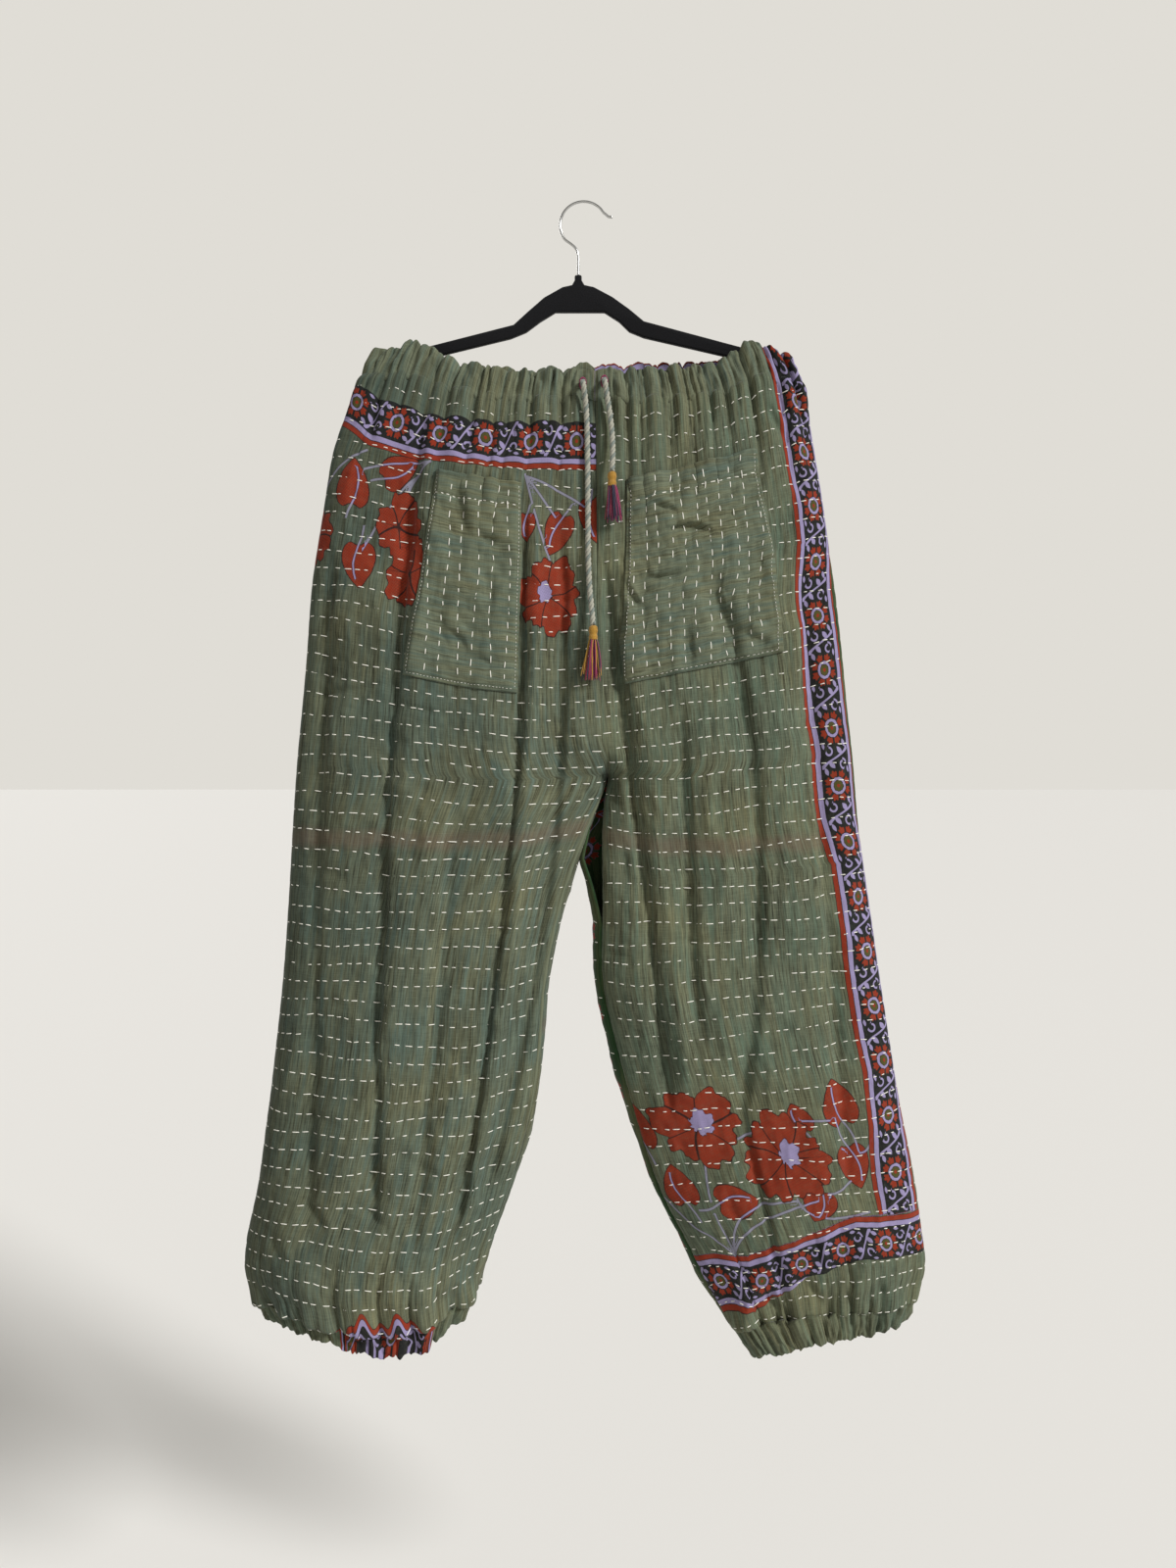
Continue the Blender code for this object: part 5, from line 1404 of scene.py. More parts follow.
STITCH, CORD_PALE, CORD_TEAL, YELLOW, CRIMSON, NAVY, MAGENTA = (
    thread_material(name, colour(*screen), variation)
    for name, screen, variation in (
        ("Stitching thread", (236, 233, 222), 0.15), ("Cord off-white", (186, 184, 168), 0.5),
        ("Cord teal grey", (134, 144, 136), 0.5), ("Thread yellow", (196, 146, 40), 0.4),
        ("Thread crimson", (140, 26, 58), 0.4), ("Thread navy", (34, 30, 66), 0.4),
        ("Buttonhole thread", (150, 38, 88), 0.3),
    )
)


def velvet_material():
    made, tree, shader = new_material("Black velvet", 1.0, 0.05, 0.5, 0.35)
    nap = grain(tree, 1400.0, 3.0)
    tree.links.new(blend(tree, nap, colour(14, 14, 15), colour(34, 34, 36)), shader.inputs["Base Color"])
    bump(tree, shader, nap, 0.4)
    return made


def steel_material():
    made, tree, shader = new_material("Steel wire", 0.28, 0.5)
    fill(tree, shader, Metallic=1.0, Base_Color=colour(190, 190, 188))
    fill(tree, shader, Roughness=grain(tree, 160.0) * 0.22 + 0.16)
    return made


VELVET, STEEL = velvet_material(), steel_material()
print(len(bpy.data.materials), "materials")

# %% [markdown]
# ## Leg panels in the scene
# The four panels are built now, each with its print distances.

# %% Build the panels
for plan in PANEL_PLANS:
    cloth = cloths[plan.name]
    flat_u, flat_v = np.meshgrid(cloth.u, cloth.v)
    fields = border_fields(plan.name, flat_u, flat_v)
    if plan.name in SPRAYS:
        fields.update(spray_fields(SPRAYS[plan.name], flat_u, flat_v))
    flat = np.stack([flat_u, flat_v], -1)
    flip = plan.leg is RIGHT_LEG
    mesh = shell_mesh("cloth_" + plan.name, cloth.points, cloth.normals, flat, flip, fields=fields)
    node = plan.name.replace("_", "_panel_")
    piece = place("panel_" + plan.name, mesh, looks[plan.name], [node])
    print(piece.name, len(mesh.polygons), "faces")


# %% [markdown]
# ## The rolled inside seam
# Below the crotch the right leg's inside seam has rolled to the front and stands up as a soft edge, where
# four layers of cloth lie together. It is laid as a thick tube of cloth along the seam. Pushing up the
# panels' own edge would do as well, but a tube keeps its roundness where the panel's columns are wide.

# %% The rolled inside seam
SEAM_RINGS, SEAM_LOW_ROW, SEAM_INSET, SEAM_RADIUS = 90, 13, 2.5, 2.2
seam_v = np.linspace(*depth_of(RIGHT_LEG, (ROW_CROTCH + 0.1, SEAM_LOW_ROW)), SEAM_RINGS)
seam_line, seam_normal = on_cloth(cloths["front_right"], np.full(SEAM_RINGS, CUT_WIDTH - SEAM_INSET), seam_v)
roll = SEAM_RADIUS * np.sin(pi * np.linspace(0, 1, SEAM_RINGS)) ** 0.3 * (1 + 0.15 * np.sin(seam_v / 5))
seam_tube = tube_points(seam_line - seam_normal * 0.2, roll, 10)[0]
place("seam_inside_right", tubes_mesh("rolled_seam", [seam_tube]), looks["pocket"])
print("rolled seam", round(run_along(seam_line)[-1]), "mm")


# %% [markdown]
# ## Casings
# The waist and the ankles end in a channel of folded cloth round the elastic. Its pleats are the same
# pleats that run on into the panel, closed to a ridge and a sharp valley, and pinched where the channel is
# stitched down. The channel is swept as a closed section along the gathered cloth, so that its top edge
# can rise and fall with every pleat.

# %% Casing sections
CASING_WALL = 3.6
CASING_PROUD, ANKLE_PROUD, CASING_BULGE = 0.9, 0.2, 0.9
CASING_COLUMNS = 281
CASING_OVERLAP = 1.16  # the channel is sewn down a little over the panel
BACK_RISE = 4.0
Section = namedtuple("Section", "fall inward")
# fall is 0 at the free edge and 1 at the stitching, inward 0 at the outer face and 1 at the inner.
SECTION = table(
    Section, *((1 - k / 9, 0) for k in range(9)), (0.06, 0), (0, 0.18), (-0.03, 0.5), (0, 0.82), (0.1, 1),
    (0.3, 1), (0.55, 1), (0.8, 1), (1, 1), (1, 0.5),
)
CasingPlan = namedtuple("CasingPlan", "free_row sewn_row height pinch proud gathers look")
AT_WAIST = CasingPlan(0, ROW_WAIST, 25.0, 0.62, CASING_PROUD, WAIST, looks["casing"])
AT_ANKLE = CasingPlan(ROW_END, ROW_ANKLE, 23.0, 0.95, ANKLE_PROUD, ANKLE, looks["hem"])


def casing_pleats(name, plan, flat_u, across, base_x):
    """Height of the pleats on a casing's section. They waver, and lie flat under the drawstrings."""
    fine, broad = plan.gathers[name]
    seed = 600 + len(name) + plan.free_row

    def wobble(number, length):
        return waves(flat_u, 24 * across, seed + number, length)

    wavering = flat_u + 2.4 * wobble(0, 30) * np.clip(1.1 - across, 0, 1)
    pleat = pleat_height(fine, wavering, 0 * flat_u) + 0.35 * pleat_height(broad, flat_u, 0 * flat_u)
    pleat = pleat * (1 + 0.3 * wobble(1, 34)) + 0.45 * wobble(2, 9)
    pleat = pleat * smooth_step(from_edge(flat_u) / 4)
    if "front" in name and plan is AT_WAIST:
        for route in routes.values():
            pleat = pleat * (1 - 0.85 * bell(base_x - route[0, 0], 7))
    return pleat


def casing_half(part, side, plan):
    """A casing on one panel: points, places on the cut and print distances, a row for each section place."""
    name, leg = part + "_" + side, LEGS[side]
    up = 1 if plan is AT_WAIST else -1
    v_sewn = float(depth_of(leg, plan.sewn_row))
    is_front = part == "front"
    sewn = np.array([[v_sewn], [float(plan.sewn_row)]])
    w = panel_columns(leg, is_front, *sewn, CASING_COLUMNS)[0]
    u = np.linspace(0, CUT_WIDTH, CASING_COLUMNS)[:: 1 if is_front else -1]
    fall, inward = np.array(SECTION).T[:, :, None] * [[[CASING_OVERLAP]], [[1]]]
    base = loop_point(leg, w[None, :], plan.sewn_row + (plan.free_row - plan.sewn_row) * (1 - fall))
    rows = np.linspace(plan.sewn_row, plan.free_row, 9)
    # The waist's rows go up the cloth, so its normals have to be turned round.
    normals = face_normals(loop_point(leg, w[None, :], rows[:, None]), leg) * -up
    normals = normals[np.round(np.clip(1 - fall[:, 0], 0, 1) * 8).astype(int)]
    flat_u, across = np.broadcast_arrays(u, fall)
    pleat = casing_pleats(name, plan, flat_u, across, base[..., 0])
    bulge = np.sin(pi * np.clip(across, 0, 1))
    squeeze = plan.pinch + (1 - plan.pinch) * np.sin(pi * np.clip(across, 0, 1) ** 0.8) ** 0.6
    lift = plan.proud + CASING_BULGE * bulge + pleat * squeeze
    height = lift * (1 - inward) + (CASING_PROUD - CASING_WALL + pleat * 0.35) * inward
    points = base + normals * height[..., None]
    scallop = (pleat + plan.gathers[name][0].heights.mean() * 0.2) * 0.7 * np.clip(1 - across * 2, 0, 1)
    points[..., 2] += scallop * (1 if up == 1 else -0.45 if side == "left" else -0.8)
    points[..., 2] += drawn_down(name, flat_u, np.full_like(flat_u, v_sewn), float(depth_of(leg, ROW_ANKLE)))
    v = v_sewn - (1 - across) * plan.height * up
    fields = border_fields(name, flat_u, v)
    if name == "back_left" and plan is AT_WAIST:
        points[..., 2] += BACK_RISE * np.sin(pi * flat_u / CUT_WIDTH) * (1 - np.clip(across, 0, 1))
        fields["across"] = -1.0 - v
    return {"points": points, "flat": np.stack([flat_u, v], -1), **fields}


def sweep_mesh(name, points, flat, closed, flip, fields):
    """A surface through sections. points has one row for each place round the section."""
    columns = points.swapaxes(0, 1)
    quads, fans = tube_faces(*columns.shape[:2], closed)
    if flip:
        quads, fans = quads[:, ::-1], fans[:, ::-1]
    fields = {label: values.T.ravel() for label, values in fields.items()}
    return build_mesh(name, columns.reshape(-1, 3), quads, fans, flat.swapaxes(0, 1).reshape(-1, 2), fields)


# %% Waist and ankle casings
def casing(name, node, halves, closed, flip, plan):
    """Joins two halves, which share their end columns, into a piece."""
    first, second = halves
    end = -1 if closed else None
    joined = {label: np.concatenate([first[label][:, :-1], second[label][:, :end]], 1) for label in first}
    mesh = sweep_mesh(name + "_cloth", joined.pop("points"), joined.pop("flat"), closed, flip, joined)
    piece = place(name, mesh, plan.look, [node])
    print(name, len(mesh.polygons), "faces")


for turned, part in ((1, "front"), (0, "back")):
    halves = [casing_half(part, side, AT_WAIST) for side in LEGS]
    halves[turned] = {label: values[:, ::-1] for label, values in halves[turned].items()}
    casing("waist_" + part, "waist_casing_" + part, halves, False, False, AT_WAIST)
for side in LEGS:
    halves = [casing_half(part, side, AT_ANKLE) for part in ("front", "back")]
    casing("ankle_" + side, "hem_casing_" + side, halves, True, side == "left", AT_ANKLE)

# %% [markdown]
# ## Pockets
# Two patch pockets lie flat on the front panels. Each is a second layer of the same cloth, with its
# threads running across, a turned hem at the top and stitching down its own columns. They are made on the
# panel's finished face, a third of a millimetre off it, so no bump of the panel can come through.

# %% Pocket shapes
Mark = namedtuple("Mark", "drop right_outer right_inner left_outer left_inner")
POCKET_MARKS = table(
    Mark,
    (190, -133, -57, 158, 34), (262, -137, -58, 163, 33), (330, -147, -58, 177, 29),
    (400, -158, -60, 184, 32), (460, -168, -61, 187, 38), (560, -177, -66, 178, 49),
)
POCKET_GAP, POCKET_WALL, POCKET_HEM_WALL, POCKET_HEM_DEEP = 0.35, 1.2, 2.2, 22.0
POCKET_CREASES = {
    "right": table(
        Crease,
        (-112, 300, 60, 78, 3, 1.5, 5), (-92, 380, 70, 84, -4, 1.3, 6), (-120, 420, 60, 40, 3, 1.3, 5),
        (-84, 330, 44, 20, 2, 1.2, 4), (-100, 440, 60, 12, 2, 1, 4),
    ),
    "left": table(
        Crease,
        (98, 327, 60, 4, -9, 2.4, 2.6), (148, 292, 84, -40, 4, 1.6, 4), (76, 362, 56, -14, 3, 2.2, 2.6),
        (48, 378, 40, 60, 7, 1.8, 3), (76, 300, 30, 18, 1, 1.6, 2.4), (130, 390, 60, 70, 5, 1.3, 6),
        (160, 420, 50, 30, 3, 1.3, 5), (100, 430, 60, 82, 3, 1.2, 5),
    ),
}
POCKET_SHAPE = {"right": (121, 121), "left": (121, 151)}


def pocket_edges(side, s):
    """The w of a pocket's outer and inner edge on each row."""
    leg = LEGS[side]
    row = rows_at(leg, s)
    found = []
    drops = [m.drop for m in POCKET_MARKS]
    for field in (side + "_outer", side + "_inner"):
        places = [getattr(m, field) for m in POCKET_MARKS]
        share = np.full_like(s, 0.5)
        for _ in range(4):
            drop = row_point(row, share, 0)[1]
            share = (np.interp(drop, drops, places) - row.outer_x) / (row.inner_x - row.outer_x)
        found.append(position_of(np.clip(share, 0.05, 0.95), s))
    return found[0], np.minimum(found[1], inside_seam(leg, s) - 0.085)


def on_cut(cloth, w, v):
    """The u of points at these w and v of a panel."""
    rows = np.interp(v, cloth.v, np.arange(len(cloth.v)))
    u = []
    for r, target in zip(rows, w):
        low = int(r)
        line = cloth.w[low] + (cloth.w[min(low + 1, len(cloth.v) - 1)] - cloth.w[low]) * (r - low)
        u.append(np.interp(target, line, cloth.u))
    return np.array(u)


def pocket_outline(side):
    """Rows of the pocket on the cut: their v, and the u of its two edges."""
    cloth = cloths["front_" + side]
    top, low = depth_of(cloth.leg, ROW_POCKET_TOP), depth_of(cloth.leg, ROW_POCKET_BOTTOM)
    v = np.linspace(top, low, POCKET_SHAPE[side][0])
    outer, inner = pocket_edges(side, row_of(cloth.leg, v))
    return v, on_cut(cloth, outer, v), on_cut(cloth, inner, v)


pocket_outlines = {side: pocket_outline(side) for side in LEGS}
POCKET_COLUMN = 15.5  # from one column of its stitches to the next
POCKET_RELIEF, POCKET_CRUMPLE, POCKET_LOFT, CORD_ON_POCKET = 2.4, 0.8, 3.6, 1.4
EDGE_STITCH, EDGE_FURROW, EDGE_FURROW_WIDTH = 3.2, 0.45, 1.3
HEM_FURROW, HEM_FURROW_WIDTH, COLUMN_FURROW, COLUMN_FURROW_WIDTH = 0.5, 1.4, 0.35, 2.4


def pocket_cloth(side):
    """A pocket's finished outer face, and the points and normals of the panel under it."""
    cloth = cloths["front_" + side]
    v, outer, inner = pocket_outlines[side]
    share = np.linspace(0, 1, POCKET_SHAPE[side][1])
    u = outer[:, None] + (inner - outer)[:, None] * share
    flat_v = np.broadcast_to(v[:, None], u.shape)
    points, normals = on_cloth(cloth, u, flat_v)
    x, drop = points[..., 0], -points[..., 2]
    down = flat_v - v[0]
    hem = smooth_step((POCKET_HEM_DEEP - down) / 2.0)
    edge = np.minimum(share, 1 - share) * np.abs(inner - outer)[:, None]
    edge = np.minimum(edge, v[-1] - flat_v)
    calm = smooth_step(edge / 6)
    height = POCKET_GAP + POCKET_WALL + (POCKET_HEM_WALL - POCKET_WALL) * hem
    relief = POCKET_RELIEF * crease_height(POCKET_CREASES[side], x, drop)
    relief = relief + POCKET_CRUMPLE * crumple_height(x, drop, 77 + len(side)) + POCKET_LOFT
    height = height + np.maximum(relief, 0) * calm
    height -= EDGE_FURROW * bell(edge - EDGE_STITCH, EDGE_FURROW_WIDTH)
    height -= HEM_FURROW * bell(down - POCKET_HEM_DEEP, HEM_FURROW_WIDTH)
    column = wrap_to(u - POCKET_COLUMN / 2, POCKET_COLUMN)
    height -= COLUMN_FURROW * calm * bell(column, COLUMN_FURROW_WIDTH)
    height = clear_of_cords(x, drop, height - CORD_ON_POCKET) + CORD_ON_POCKET
    outer_face = points + normals * height[..., None]
    patch = Cloth("pocket_" + side, cloth.leg, share, v, u, outer_face, face_normals(outer_face, cloth.leg))
    return patch, points, normals


pocket_cloths = {}
for side in LEGS:
    patch, under, under_normals = pocket_cloth(side)
    pocket_cloths[side] = patch
    thick = np.sum((patch.points - under) * under_normals, -1)[..., None] - POCKET_GAP
    flat = np.stack([patch.w, np.broadcast_to(patch.v[:, None], patch.w.shape)], -1)
    mesh = shell_mesh(patch.name, patch.points, under_normals * thick, flat, side == "right", wall=1.0)
    piece = place("patch_" + side, mesh, looks["pocket"], [patch.name])

# %% [markdown]
# ## Running stitches
# Off-white thread runs through both layers in long rows. A painted dash would be flat in the side light, so
# every stitch is a small capsule of thread that rises from the cloth at one end and dips back at the other.
# All of a panel's stitches are one mesh, made from arrays, because thousands of objects would be slow.

# %% Stitch meshes
STITCH_SIDES = 5
STITCH_RINGS = ((0.0, 0.2, -0.30), (0.2, 0.43, 0.25), (0.8, 0.43, 0.25), (1.0, 0.2, -0.30))  # t, radius, lift
STITCH_HIGH, STITCH_WIDE = 0.8, 1.1  # of the radius, as a stitch is pressed flat
STITCH_LENGTH = 6.5
STITCHES_LOST = 0.03


def unit(vectors):
    return vectors / np.maximum(np.linalg.norm(vectors, axis=-1, keepdims=True), 1e-9)


def stitch_mesh(name, start, end, start_normal, end_normal, thick=1.0):
    """Capsules from each start to its end."""
    thick = np.broadcast_to(thick, len(start))[:, None, None]
    axis = unit(end - start)
    normal = start_normal + end_normal
    normal = unit(normal - axis * np.sum(normal * axis, 1, keepdims=True))
    side = np.cross(axis, normal)
    angles = (2 * pi * np.arange(STITCH_SIDES) / STITCH_SIDES)[:, None]
    section = normal[:, None] * np.cos(angles) * STITCH_HIGH + side[:, None] * np.sin(angles) * STITCH_WIDE
    rings = []
    for t, radius, lift in STITCH_RINGS:
        centre = start + (end - start) * t + normal * lift
        rings.append(centre[:, None] + thick * radius * section)
    points = np.stack(rings, 1)
    first = (np.arange(len(start)) * len(rings) * STITCH_SIDES)[:, None, None]
    quads, fans = tube_faces(len(rings), STITCH_SIDES)
    quads, fans = (quads[:, ::-1] + first).reshape(-1, 4), (fans[:, ::-1] + first).reshape(-1, 3)
    return build_mesh(name, points.reshape(-1, 3), quads, fans)


def sew(piece_name, mesh_name, cloth, ends, thick=1.0):
    """Lays stitches on a cloth. ends has the u and v of their starts and then of their ends."""
    (start, start_normal), (end, end_normal) = on_cloth(cloth, *ends[:2]), on_cloth(cloth, *ends[2:])
    mesh = stitch_mesh(mesh_name, start, end, start_normal, end_normal, thick)
    place(piece_name, mesh, STITCH)
    print(piece_name, len(start))


def running_rows(cloth, seed):
    """The u and v of both ends of every stitch on a panel."""
    rng = np.random.default_rng(seed)
    low = cloth.v[-1]
    found = []
    for k in range(1, int(low / STITCH_ROWS) + 1):
        u = np.arange(4 + rng.uniform(0, 8), CUT_WIDTH - 8, STITCH_PITCH)
        u = u + rng.uniform(-1.7, 1.7, len(u))
        long = STITCH_LENGTH * rng.uniform(0.6, 1.25, len(u))
        keep = rng.uniform(size=len(u)) > STITCHES_LOST
        line = k * STITCH_ROWS + rng.uniform(-1.0, 1.0)
        u, long = u[keep], long[keep]
        v0, v1 = (line - row_wander(at, line) + rng.uniform(-0.45, 0.45, len(u)) for at in (u, u + long))
        found.append(np.stack([u, v0, u + long, v1])[:, (v0 > 3) & (v1 < low - 3)])
    return np.concatenate(found, 1)


def under_pocket(side, u, v, spare_v=2, spare_u=3):
    """True where a place on a front panel is covered by its pocket."""
    rows, *edges = pocket_outlines[side]
    near, far = np.sort([np.interp(v, rows, edge) for edge in edges], axis=0)
    return (v > rows[0] - spare_v) & (v < rows[-1] + spare_v) & (u > near - spare_u) & (u < far + spare_u)


for plan in PANEL_PLANS:
    ends = running_rows(cloths[plan.name], 500 + PANEL_KEYS[plan.name])
    if plan.front:
        ends = ends[:, ~under_pocket(plan.name.split("_")[1], *ends[:2])]
    sew("stitches_" + plan.name, "running_" + plan.name, cloths[plan.name], ends)

# %% Stitches on the pockets
POCKET_PITCH, POCKET_STITCH = 12.6, 6.8
EDGE_PITCH, EDGE_SHARE, EDGE_THICK = 3.6, 0.028, 0.5
HEM_PITCH_SHARE, HEM_STITCH_SHARE = 0.062, 0.034  # shares of the pocket's width
LOW_PITCH_SHARE, LOW_STITCH_SHARE, LOW_EDGE = 0.03, 0.018, 3.4

for side, patch in pocket_cloths.items():
    rng = np.random.default_rng(700 + len(side))
    top, low = patch.v[0], patch.v[-1]
    found = []

    def share_at(u, v):
        near, far = np.interp(v, patch.v, patch.w[:, 0]), np.interp(v, patch.v, patch.w[:, -1])
        return (u - near) / (far - near)

    def add(a0, v0, a1, v1, thick=1.0):
        found.append(np.stack(np.broadcast_arrays(a0, v0, a1, v1, thick)))

    for column in np.arange(POCKET_COLUMN / 2, CUT_WIDTH, POCKET_COLUMN):
        v = np.arange(top + 3 + rng.uniform(0, 12), low - 12, POCKET_PITCH)
        v = v + rng.uniform(-1.5, 1.5, len(v))
        u = column + 1.4 * np.sin(v / 31 + column) + rng.uniform(-0.3, 0.3, len(v))
        long = POCKET_STITCH * rng.uniform(0.75, 1.2, len(v))
        a, b = share_at(u, v), share_at(u + rng.uniform(-0.5, 0.5, len(v)), v + long)
        keep = (a > 0.05) & (a < 0.95) & (b > 0.05) & (b < 0.95)
        add(a[keep], v[keep], b[keep], (v + long)[keep])
    a = np.arange(0.03, 0.94, HEM_PITCH_SHARE)
    hem_v, end_v = (top + POCKET_HEM_DEEP + rng.uniform(-0.5, 0.5, len(a)) for _ in range(2))
    add(a, hem_v, a + HEM_STITCH_SHARE, end_v)
    v = np.arange(top + 4, low - 5, EDGE_PITCH)
    for edge in (EDGE_SHARE, 1 - EDGE_SHARE):
        add(edge, v, edge, v + 0.55 * EDGE_PITCH, EDGE_THICK)
    a = np.arange(0.03, 0.96, LOW_PITCH_SHARE)
    add(a, low - LOW_EDGE, a + LOW_STITCH_SHARE, low - LOW_EDGE, EDGE_THICK)
    *ends, thick = np.concatenate(found, 1)
    sew("stitches_pocket_" + side, "pocket_running_" + side, patch, ends, thick)

# %% [markdown]
# ## Drawstrings
# The cord is a rope of three plies, two off-white and one a cooler grey. Each ply is a round tube that
# winds round the cord's own middle line. A plain tube with a rope bump would do from far away, but the
# plies give the cord its real knobbly outline.

# %% Rope
PLIES, PLY_RADIUS, PLY_OFFSET, LAY_LENGTH = 3, 1.42, 1.36, 13.0
PLY_SIDES = 8


def rope_tubes(route):
    _, across, other = tube_points(route, 1.0, 4)
    run = run_along(route)
    tubes = []
    for ply in range(PLIES):
        angle = 2 * pi * (run / LAY_LENGTH + ply / PLIES)
        line = route + PLY_OFFSET * (np.cos(angle)[:, None] * across + np.sin(angle)[:, None] * other)
        tubes.append(tube_points(line, PLY_RADIUS, PLY_SIDES)[0])
    return tubes


TASSEL_HEAD_HEIGHT, TASSEL_HEAD_WIDTH = 13.0, 9.0
Tassel = namedtuple("Tassel", "length spread lean threads colours")
TASSELS = {
    "right": Tassel(51.0, 2.9, -1.5, 84, (CRIMSON, YELLOW, MAGENTA, NAVY)),
    "left": Tassel(47.0, 2.2, 2.0, 72, (NAVY, CRIMSON, NAVY, MAGENTA)),
}
for side, route in routes.items():
    mesh = tubes_mesh("rope_" + side, rope_tubes(route), [0, 0, 1])
    look = [CORD_PALE, CORD_TEAL]
    place("cord_" + side, mesh, look, ["drawstring_" + side])
    print("cord", side, len(mesh.polygons), "faces")

# %% [markdown]
# ## Tassels
# A tassel is a hank of thread tied round the cord's end: a wound head with a neck, then cut threads that
# spread as they fall. Threads of several colours are laid in turn, each with its own bend and length.

# %% Tassels
HEAD_PROFILE = ((0.0, 0.60), (0.12, 0.88), (0.35, 0.98), (0.55, 0.84), (0.62, 0.80), (0.8, 0.96), (1.0, 0.9))
WINDING_PITCH, WINDING_RADIUS, CORE_INSET = 0.62, 0.36, 0.45
THREAD_RADII = [0.46] * 7 + [0.3]
HEAD_COLOUR = 4  # the number of the head's thread among a tassel's materials


def head_radius(fall):
    return np.interp(fall, *zip(*HEAD_PROFILE)) * TASSEL_HEAD_WIDTH / 2


def tassel_tubes(shape, top, seed):
    """Tubes of the wound head and of the cut threads, with each one's colour number."""
    rng = np.random.default_rng(seed)
    falls = np.linspace(0, 1, 9)
    core = top - falls[:, None] * (0, 0, TASSEL_HEAD_HEIGHT)
    turns = TASSEL_HEAD_HEIGHT / WINDING_PITCH
    a = np.linspace(0, 2 * pi * turns, int(turns * 14))
    fall = np.linspace(0.02, 0.98, len(a))
    r = head_radius(fall) - 0.35
    winding = top + np.stack([r * np.cos(a), r * np.sin(a), -fall * TASSEL_HEAD_HEIGHT], -1)
    tubes = [tube_points(core, head_radius(falls) - CORE_INSET, 16)[0]]
    tubes.append(tube_points(winding, WINDING_RADIUS, 5)[0])
    flags = [HEAD_COLOUR, HEAD_COLOUR]
    for _ in range(shape.threads):
        angle, out = rng.uniform(0, 2 * pi), rng.uniform(0, 1) ** 0.5
        start = np.array([cos(angle), sin(angle)]) * out * TASSEL_HEAD_WIDTH * 0.40
        long = (shape.length - TASSEL_HEAD_HEIGHT) * rng.uniform(0.78, 1.0)
        t = np.linspace(0, 1, len(THREAD_RADII))
        reach = t**0.8
        sway = rng.uniform(-0.7, 0.7) * np.sin(pi * t * rng.uniform(0.7, 1.6))
        x = top[0] + start[0] * (1 + (shape.spread - 1) * reach) + shape.lean * reach + sway
        y = top[1] + start[1] * (1 + 0.15 * reach) + rng.uniform(-0.3, 0.3) * reach
        z = top[2] - TASSEL_HEAD_HEIGHT + 1.5 - (long + 1.5) * t
        tubes.append(tube_points(np.stack([x, y, z], -1), np.array(THREAD_RADII), 5)[0])
        flags.append(int(rng.integers(0, 4)))
    return tubes, flags


for seed, (side, shape) in enumerate(TASSELS.items()):
    route = routes[side]
    along = route[-1] - route[-2]
    tilt = np.hypot(along[0], along[1]) / -along[2]
    top = route[-1] - (0, 0, 0.3 + tilt * CORD_WIDTH / 2)
    tubes, flags = tassel_tubes(shape, top, 40 + seed)
    mesh = tubes_mesh("tassel_" + side, tubes, flags)
    colours = [*shape.colours, YELLOW]
    tassel = place("tassel_threads_" + side, mesh, colours, ["tassel_" + side])
    print("tassel", side, len(tubes), "threads")

# %% [markdown]
# ## Buttonholes
# Each cord comes out of a small slit bound in magenta thread. The binding is a ring of short stitches laid
# side by side across the slit's edge, on the casing's outer face.

# %% Buttonholes
HOLE_WIDE, HOLE_HIGH, HOLE_STITCHES = 2.6, 5.0, 34
HOLE_OFF, HOLE_INSIDE, HOLE_OUTSIDE, HOLE_THREAD = 0.9, 0.5, 1.3, 0.8

for side, route in routes.items():
    a = 2 * pi * np.arange(HOLE_STITCHES) / HOLE_STITCHES
    outward = np.stack([np.cos(a), 0 * a, np.sin(a)], -1)
    ring = route[0] + (0, HOLE_OFF, 0) + outward * (HOLE_WIDE, 0, HOLE_HIGH)
    start, end = ring - outward * HOLE_INSIDE, ring + outward * HOLE_OUTSIDE
    normal = np.broadcast_to((0.0, -1.0, 0.0), ring.shape)
    mesh = stitch_mesh("binding_" + side, start, end, normal, normal, HOLE_THREAD)
    place("buttonhole_" + side, mesh, MAGENTA)
    print("buttonhole", side, len(a), "stitches")

# %% [markdown]
# ## Hanger
# A thin velvet-covered hanger carries the waist. Its outline is a short table of points on smooth curves,
# pushed out to its thickness and rounded at the edges, as flocked hangers are moulded. The hook is one
# bent steel wire, so it is a curve with a round section.

# %% Hanger and hook
HANGER_THICK, ARM_HEIGHT, HANGER_ROUND = 6.0, 10.3, 1.6
ARM_END_RIGHT, ARM_END_LEFT = (-196.2, 154.6), (193.2, 154.4)
NECK_X, NECK_TOP, NECK_HALF = -5.2, 70.0, 3.4
ARM_TILT, TIP_STEPS = 14, 16
HOOK_WIRE, HOOK_RADIUS = 2.4, 22.6
HOOK_START, HOOK_END = 218, 32
NECK_FLARE = ((0, 0), (0, 5), (2.6, 9.5))
ARCH_LEFT = ((9.9, 81.5), (27.7, 91.0), (43.7, 102.5), (57.8, 114.2))
UNDER_LEFT = ((57.8, 129.7), (43.7, 124.0), (34.0, 114.5), (20.0, 105.5))
UNDER_RIGHT = ((-27.0, 105.5), (-41.5, 114.5), (-55.0, 124.5), (-70.0, 130.6))
ARCH_RIGHT = ((-67.2, 117.6), (-54.0, 105.5), (-38.0, 91.5), (-20.2, 81.5))


def arc(centre, radius, start, end, steps):
    angles = [radians(start + (end - start) * k / steps) for k in range(steps + 1)]
    return [(centre[0] + radius * cos(a), centre[1] - radius * sin(a)) for a in angles]


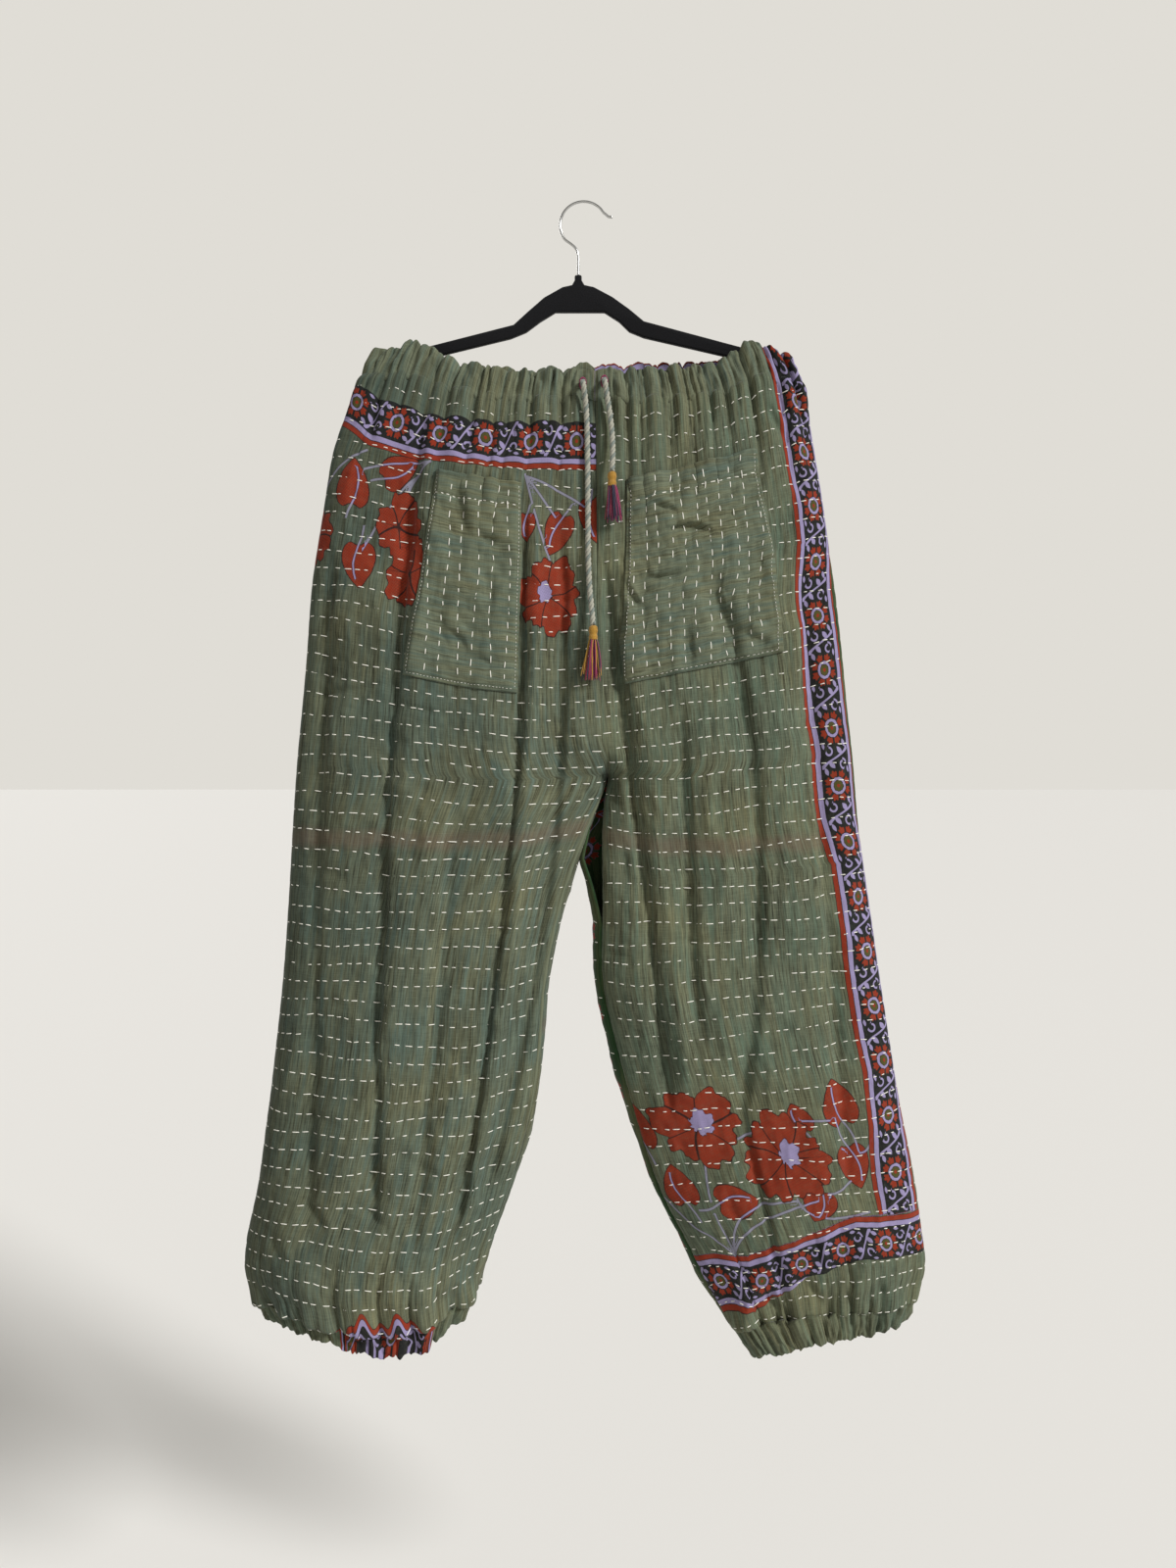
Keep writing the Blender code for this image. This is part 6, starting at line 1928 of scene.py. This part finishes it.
def hanger_outline():
    """The hanger's outline seen from the front, as x and drop, going round once."""
    half = ARM_HEIGHT / 2
    neck = [(NECK_X + NECK_HALF + out, NECK_TOP + down) for out, down in NECK_FLARE]
    left, right = (ARM_END_LEFT[0] - half, ARM_END_LEFT[1]), (ARM_END_RIGHT[0] + half, ARM_END_RIGHT[1])
    tip_left = arc(left, half, 90 - ARM_TILT, -90 - ARM_TILT, TIP_STEPS)
    tip_right = arc(right, half, 270 + ARM_TILT, 90 + ARM_TILT, TIP_STEPS)
    mirror_neck = [(2 * NECK_X - x, d) for x, d in reversed(neck)]
    return [*neck, *ARCH_LEFT, *tip_left, *UNDER_LEFT, *UNDER_RIGHT, *tip_right, *ARCH_RIGHT, *mirror_neck]


def hanger():
    outline = hanger_outline()
    count = len(outline)
    points = np.array([(x, y, -drop) for y in (-HANGER_THICK / 2, HANGER_THICK / 2) for x, drop in outline])
    mesh = bpy.data.meshes.new("hanger")
    faces = [tuple(range(count)), tuple(range(2 * count - 1, count - 1, -1))]
    faces += [(k, k + count, (k + 1) % count + count, (k + 1) % count) for k in range(count)]
    mesh.from_pydata([tuple(p) for p in points * MM], [], faces)
    mesh.validate()
    mesh.shade_smooth()
    body = place("velvet_hanger", mesh, VELVET, ["hanger_body"])
    soft = body.modifiers.new("Rounded edge", "BEVEL")
    soft.width, soft.segments = HANGER_ROUND * MM, 4
    soft.limit_method, soft.angle_limit = "ANGLE", radians(50)


hanger()
centre_drop = HOOK_RADIUS - HOOK_WIRE / 2
stem = ((NECK_X, NECK_TOP - 0.3), (NECK_X, 60), (NECK_X - 0.1, 51), (-7.4, 44.0), (-12.0, 39.6))
tip = ((21.6, 11.4), (24.0, 13.4), (27.6, 13.8))
bow = arc((0, centre_drop), HOOK_RADIUS, HOOK_START, HOOK_END, 15)
wire_line = smooth_route([(x, 0, -drop) for x, drop in (*stem, *bow, *tip)], 1.0)
hook_rings = tube_points(wire_line, HOOK_WIRE / 2, 20)[0]
place("steel_hook", tubes_mesh("hook", [hook_rings]), STEEL, ["hanger_hook"])
print("hanger", len(hanger_outline()), "outline points; hook", len(wire_line), "rings")

# %% [markdown]
# ## Studio
# A pale floor far below, a pale world, and two suns. The strong one comes from the upper right in front and
# models every furrow, as a window does. A weaker, softer one from behind on the left lights the edges.

# %% Floor and lights
FLOOR_DROP, FLOOR_HALF = 1500.0, 200
AMBIENT = 0.40
PAPER, ROOM = colour(231, 229, 225), colour(224, 221, 214)
floor_mesh = bpy.data.meshes.new("floor")
corners = [(x * FLOOR_HALF, y * FLOOR_HALF, 0) for x, y in ((-1, -1), (1, -1), (1, 1), (-1, 1))]
floor_mesh.from_pydata(corners, [], [(0, 1, 2, 3)])
floor = add_object("floor", floor_mesh)
floor.location.z = -FLOOR_DROP * MM
paper, tree, shader = new_material("Pale paper", 0.95)
fill(tree, shader, Base_Color=PAPER)
floor_mesh.materials.append(paper)

world = bpy.data.worlds.new("Pale room")
world.use_nodes = True
room = world.node_tree.nodes["Background"]
room.inputs["Color"].default_value = ROOM
seen = world.node_tree.nodes.new("ShaderNodeLightPath").outputs["Is Camera Ray"]
feed(world.node_tree, room.inputs["Strength"], Num(world.node_tree, seen) * (1 - AMBIENT) + AMBIENT)
bpy.context.scene.world = world
bpy.context.scene.view_settings.view_transform = "Standard"

LightPlan = namedtuple("LightPlan", "name place power soft")
LIGHTS = table(LightPlan, ("window", (1.25, -0.95, 0.9), 3.5, 14), ("behind", (-0.8, 1.2, 0.6), 1.1, 30))

for plan in LIGHTS:
    light = bpy.data.lights.new(plan.name, "SUN")
    light.angle, light.energy = radians(plan.soft), plan.power
    lamp = add_object(plan.name, light)
    lamp.location = plan.place
    x, y, z = lamp.location
    lamp.rotation_euler = (float(np.arctan2(np.hypot(x, y), z)), 0, float(np.arctan2(y, x) + pi / 2))
print(len(LIGHTS), "lights, aimed at the origin")
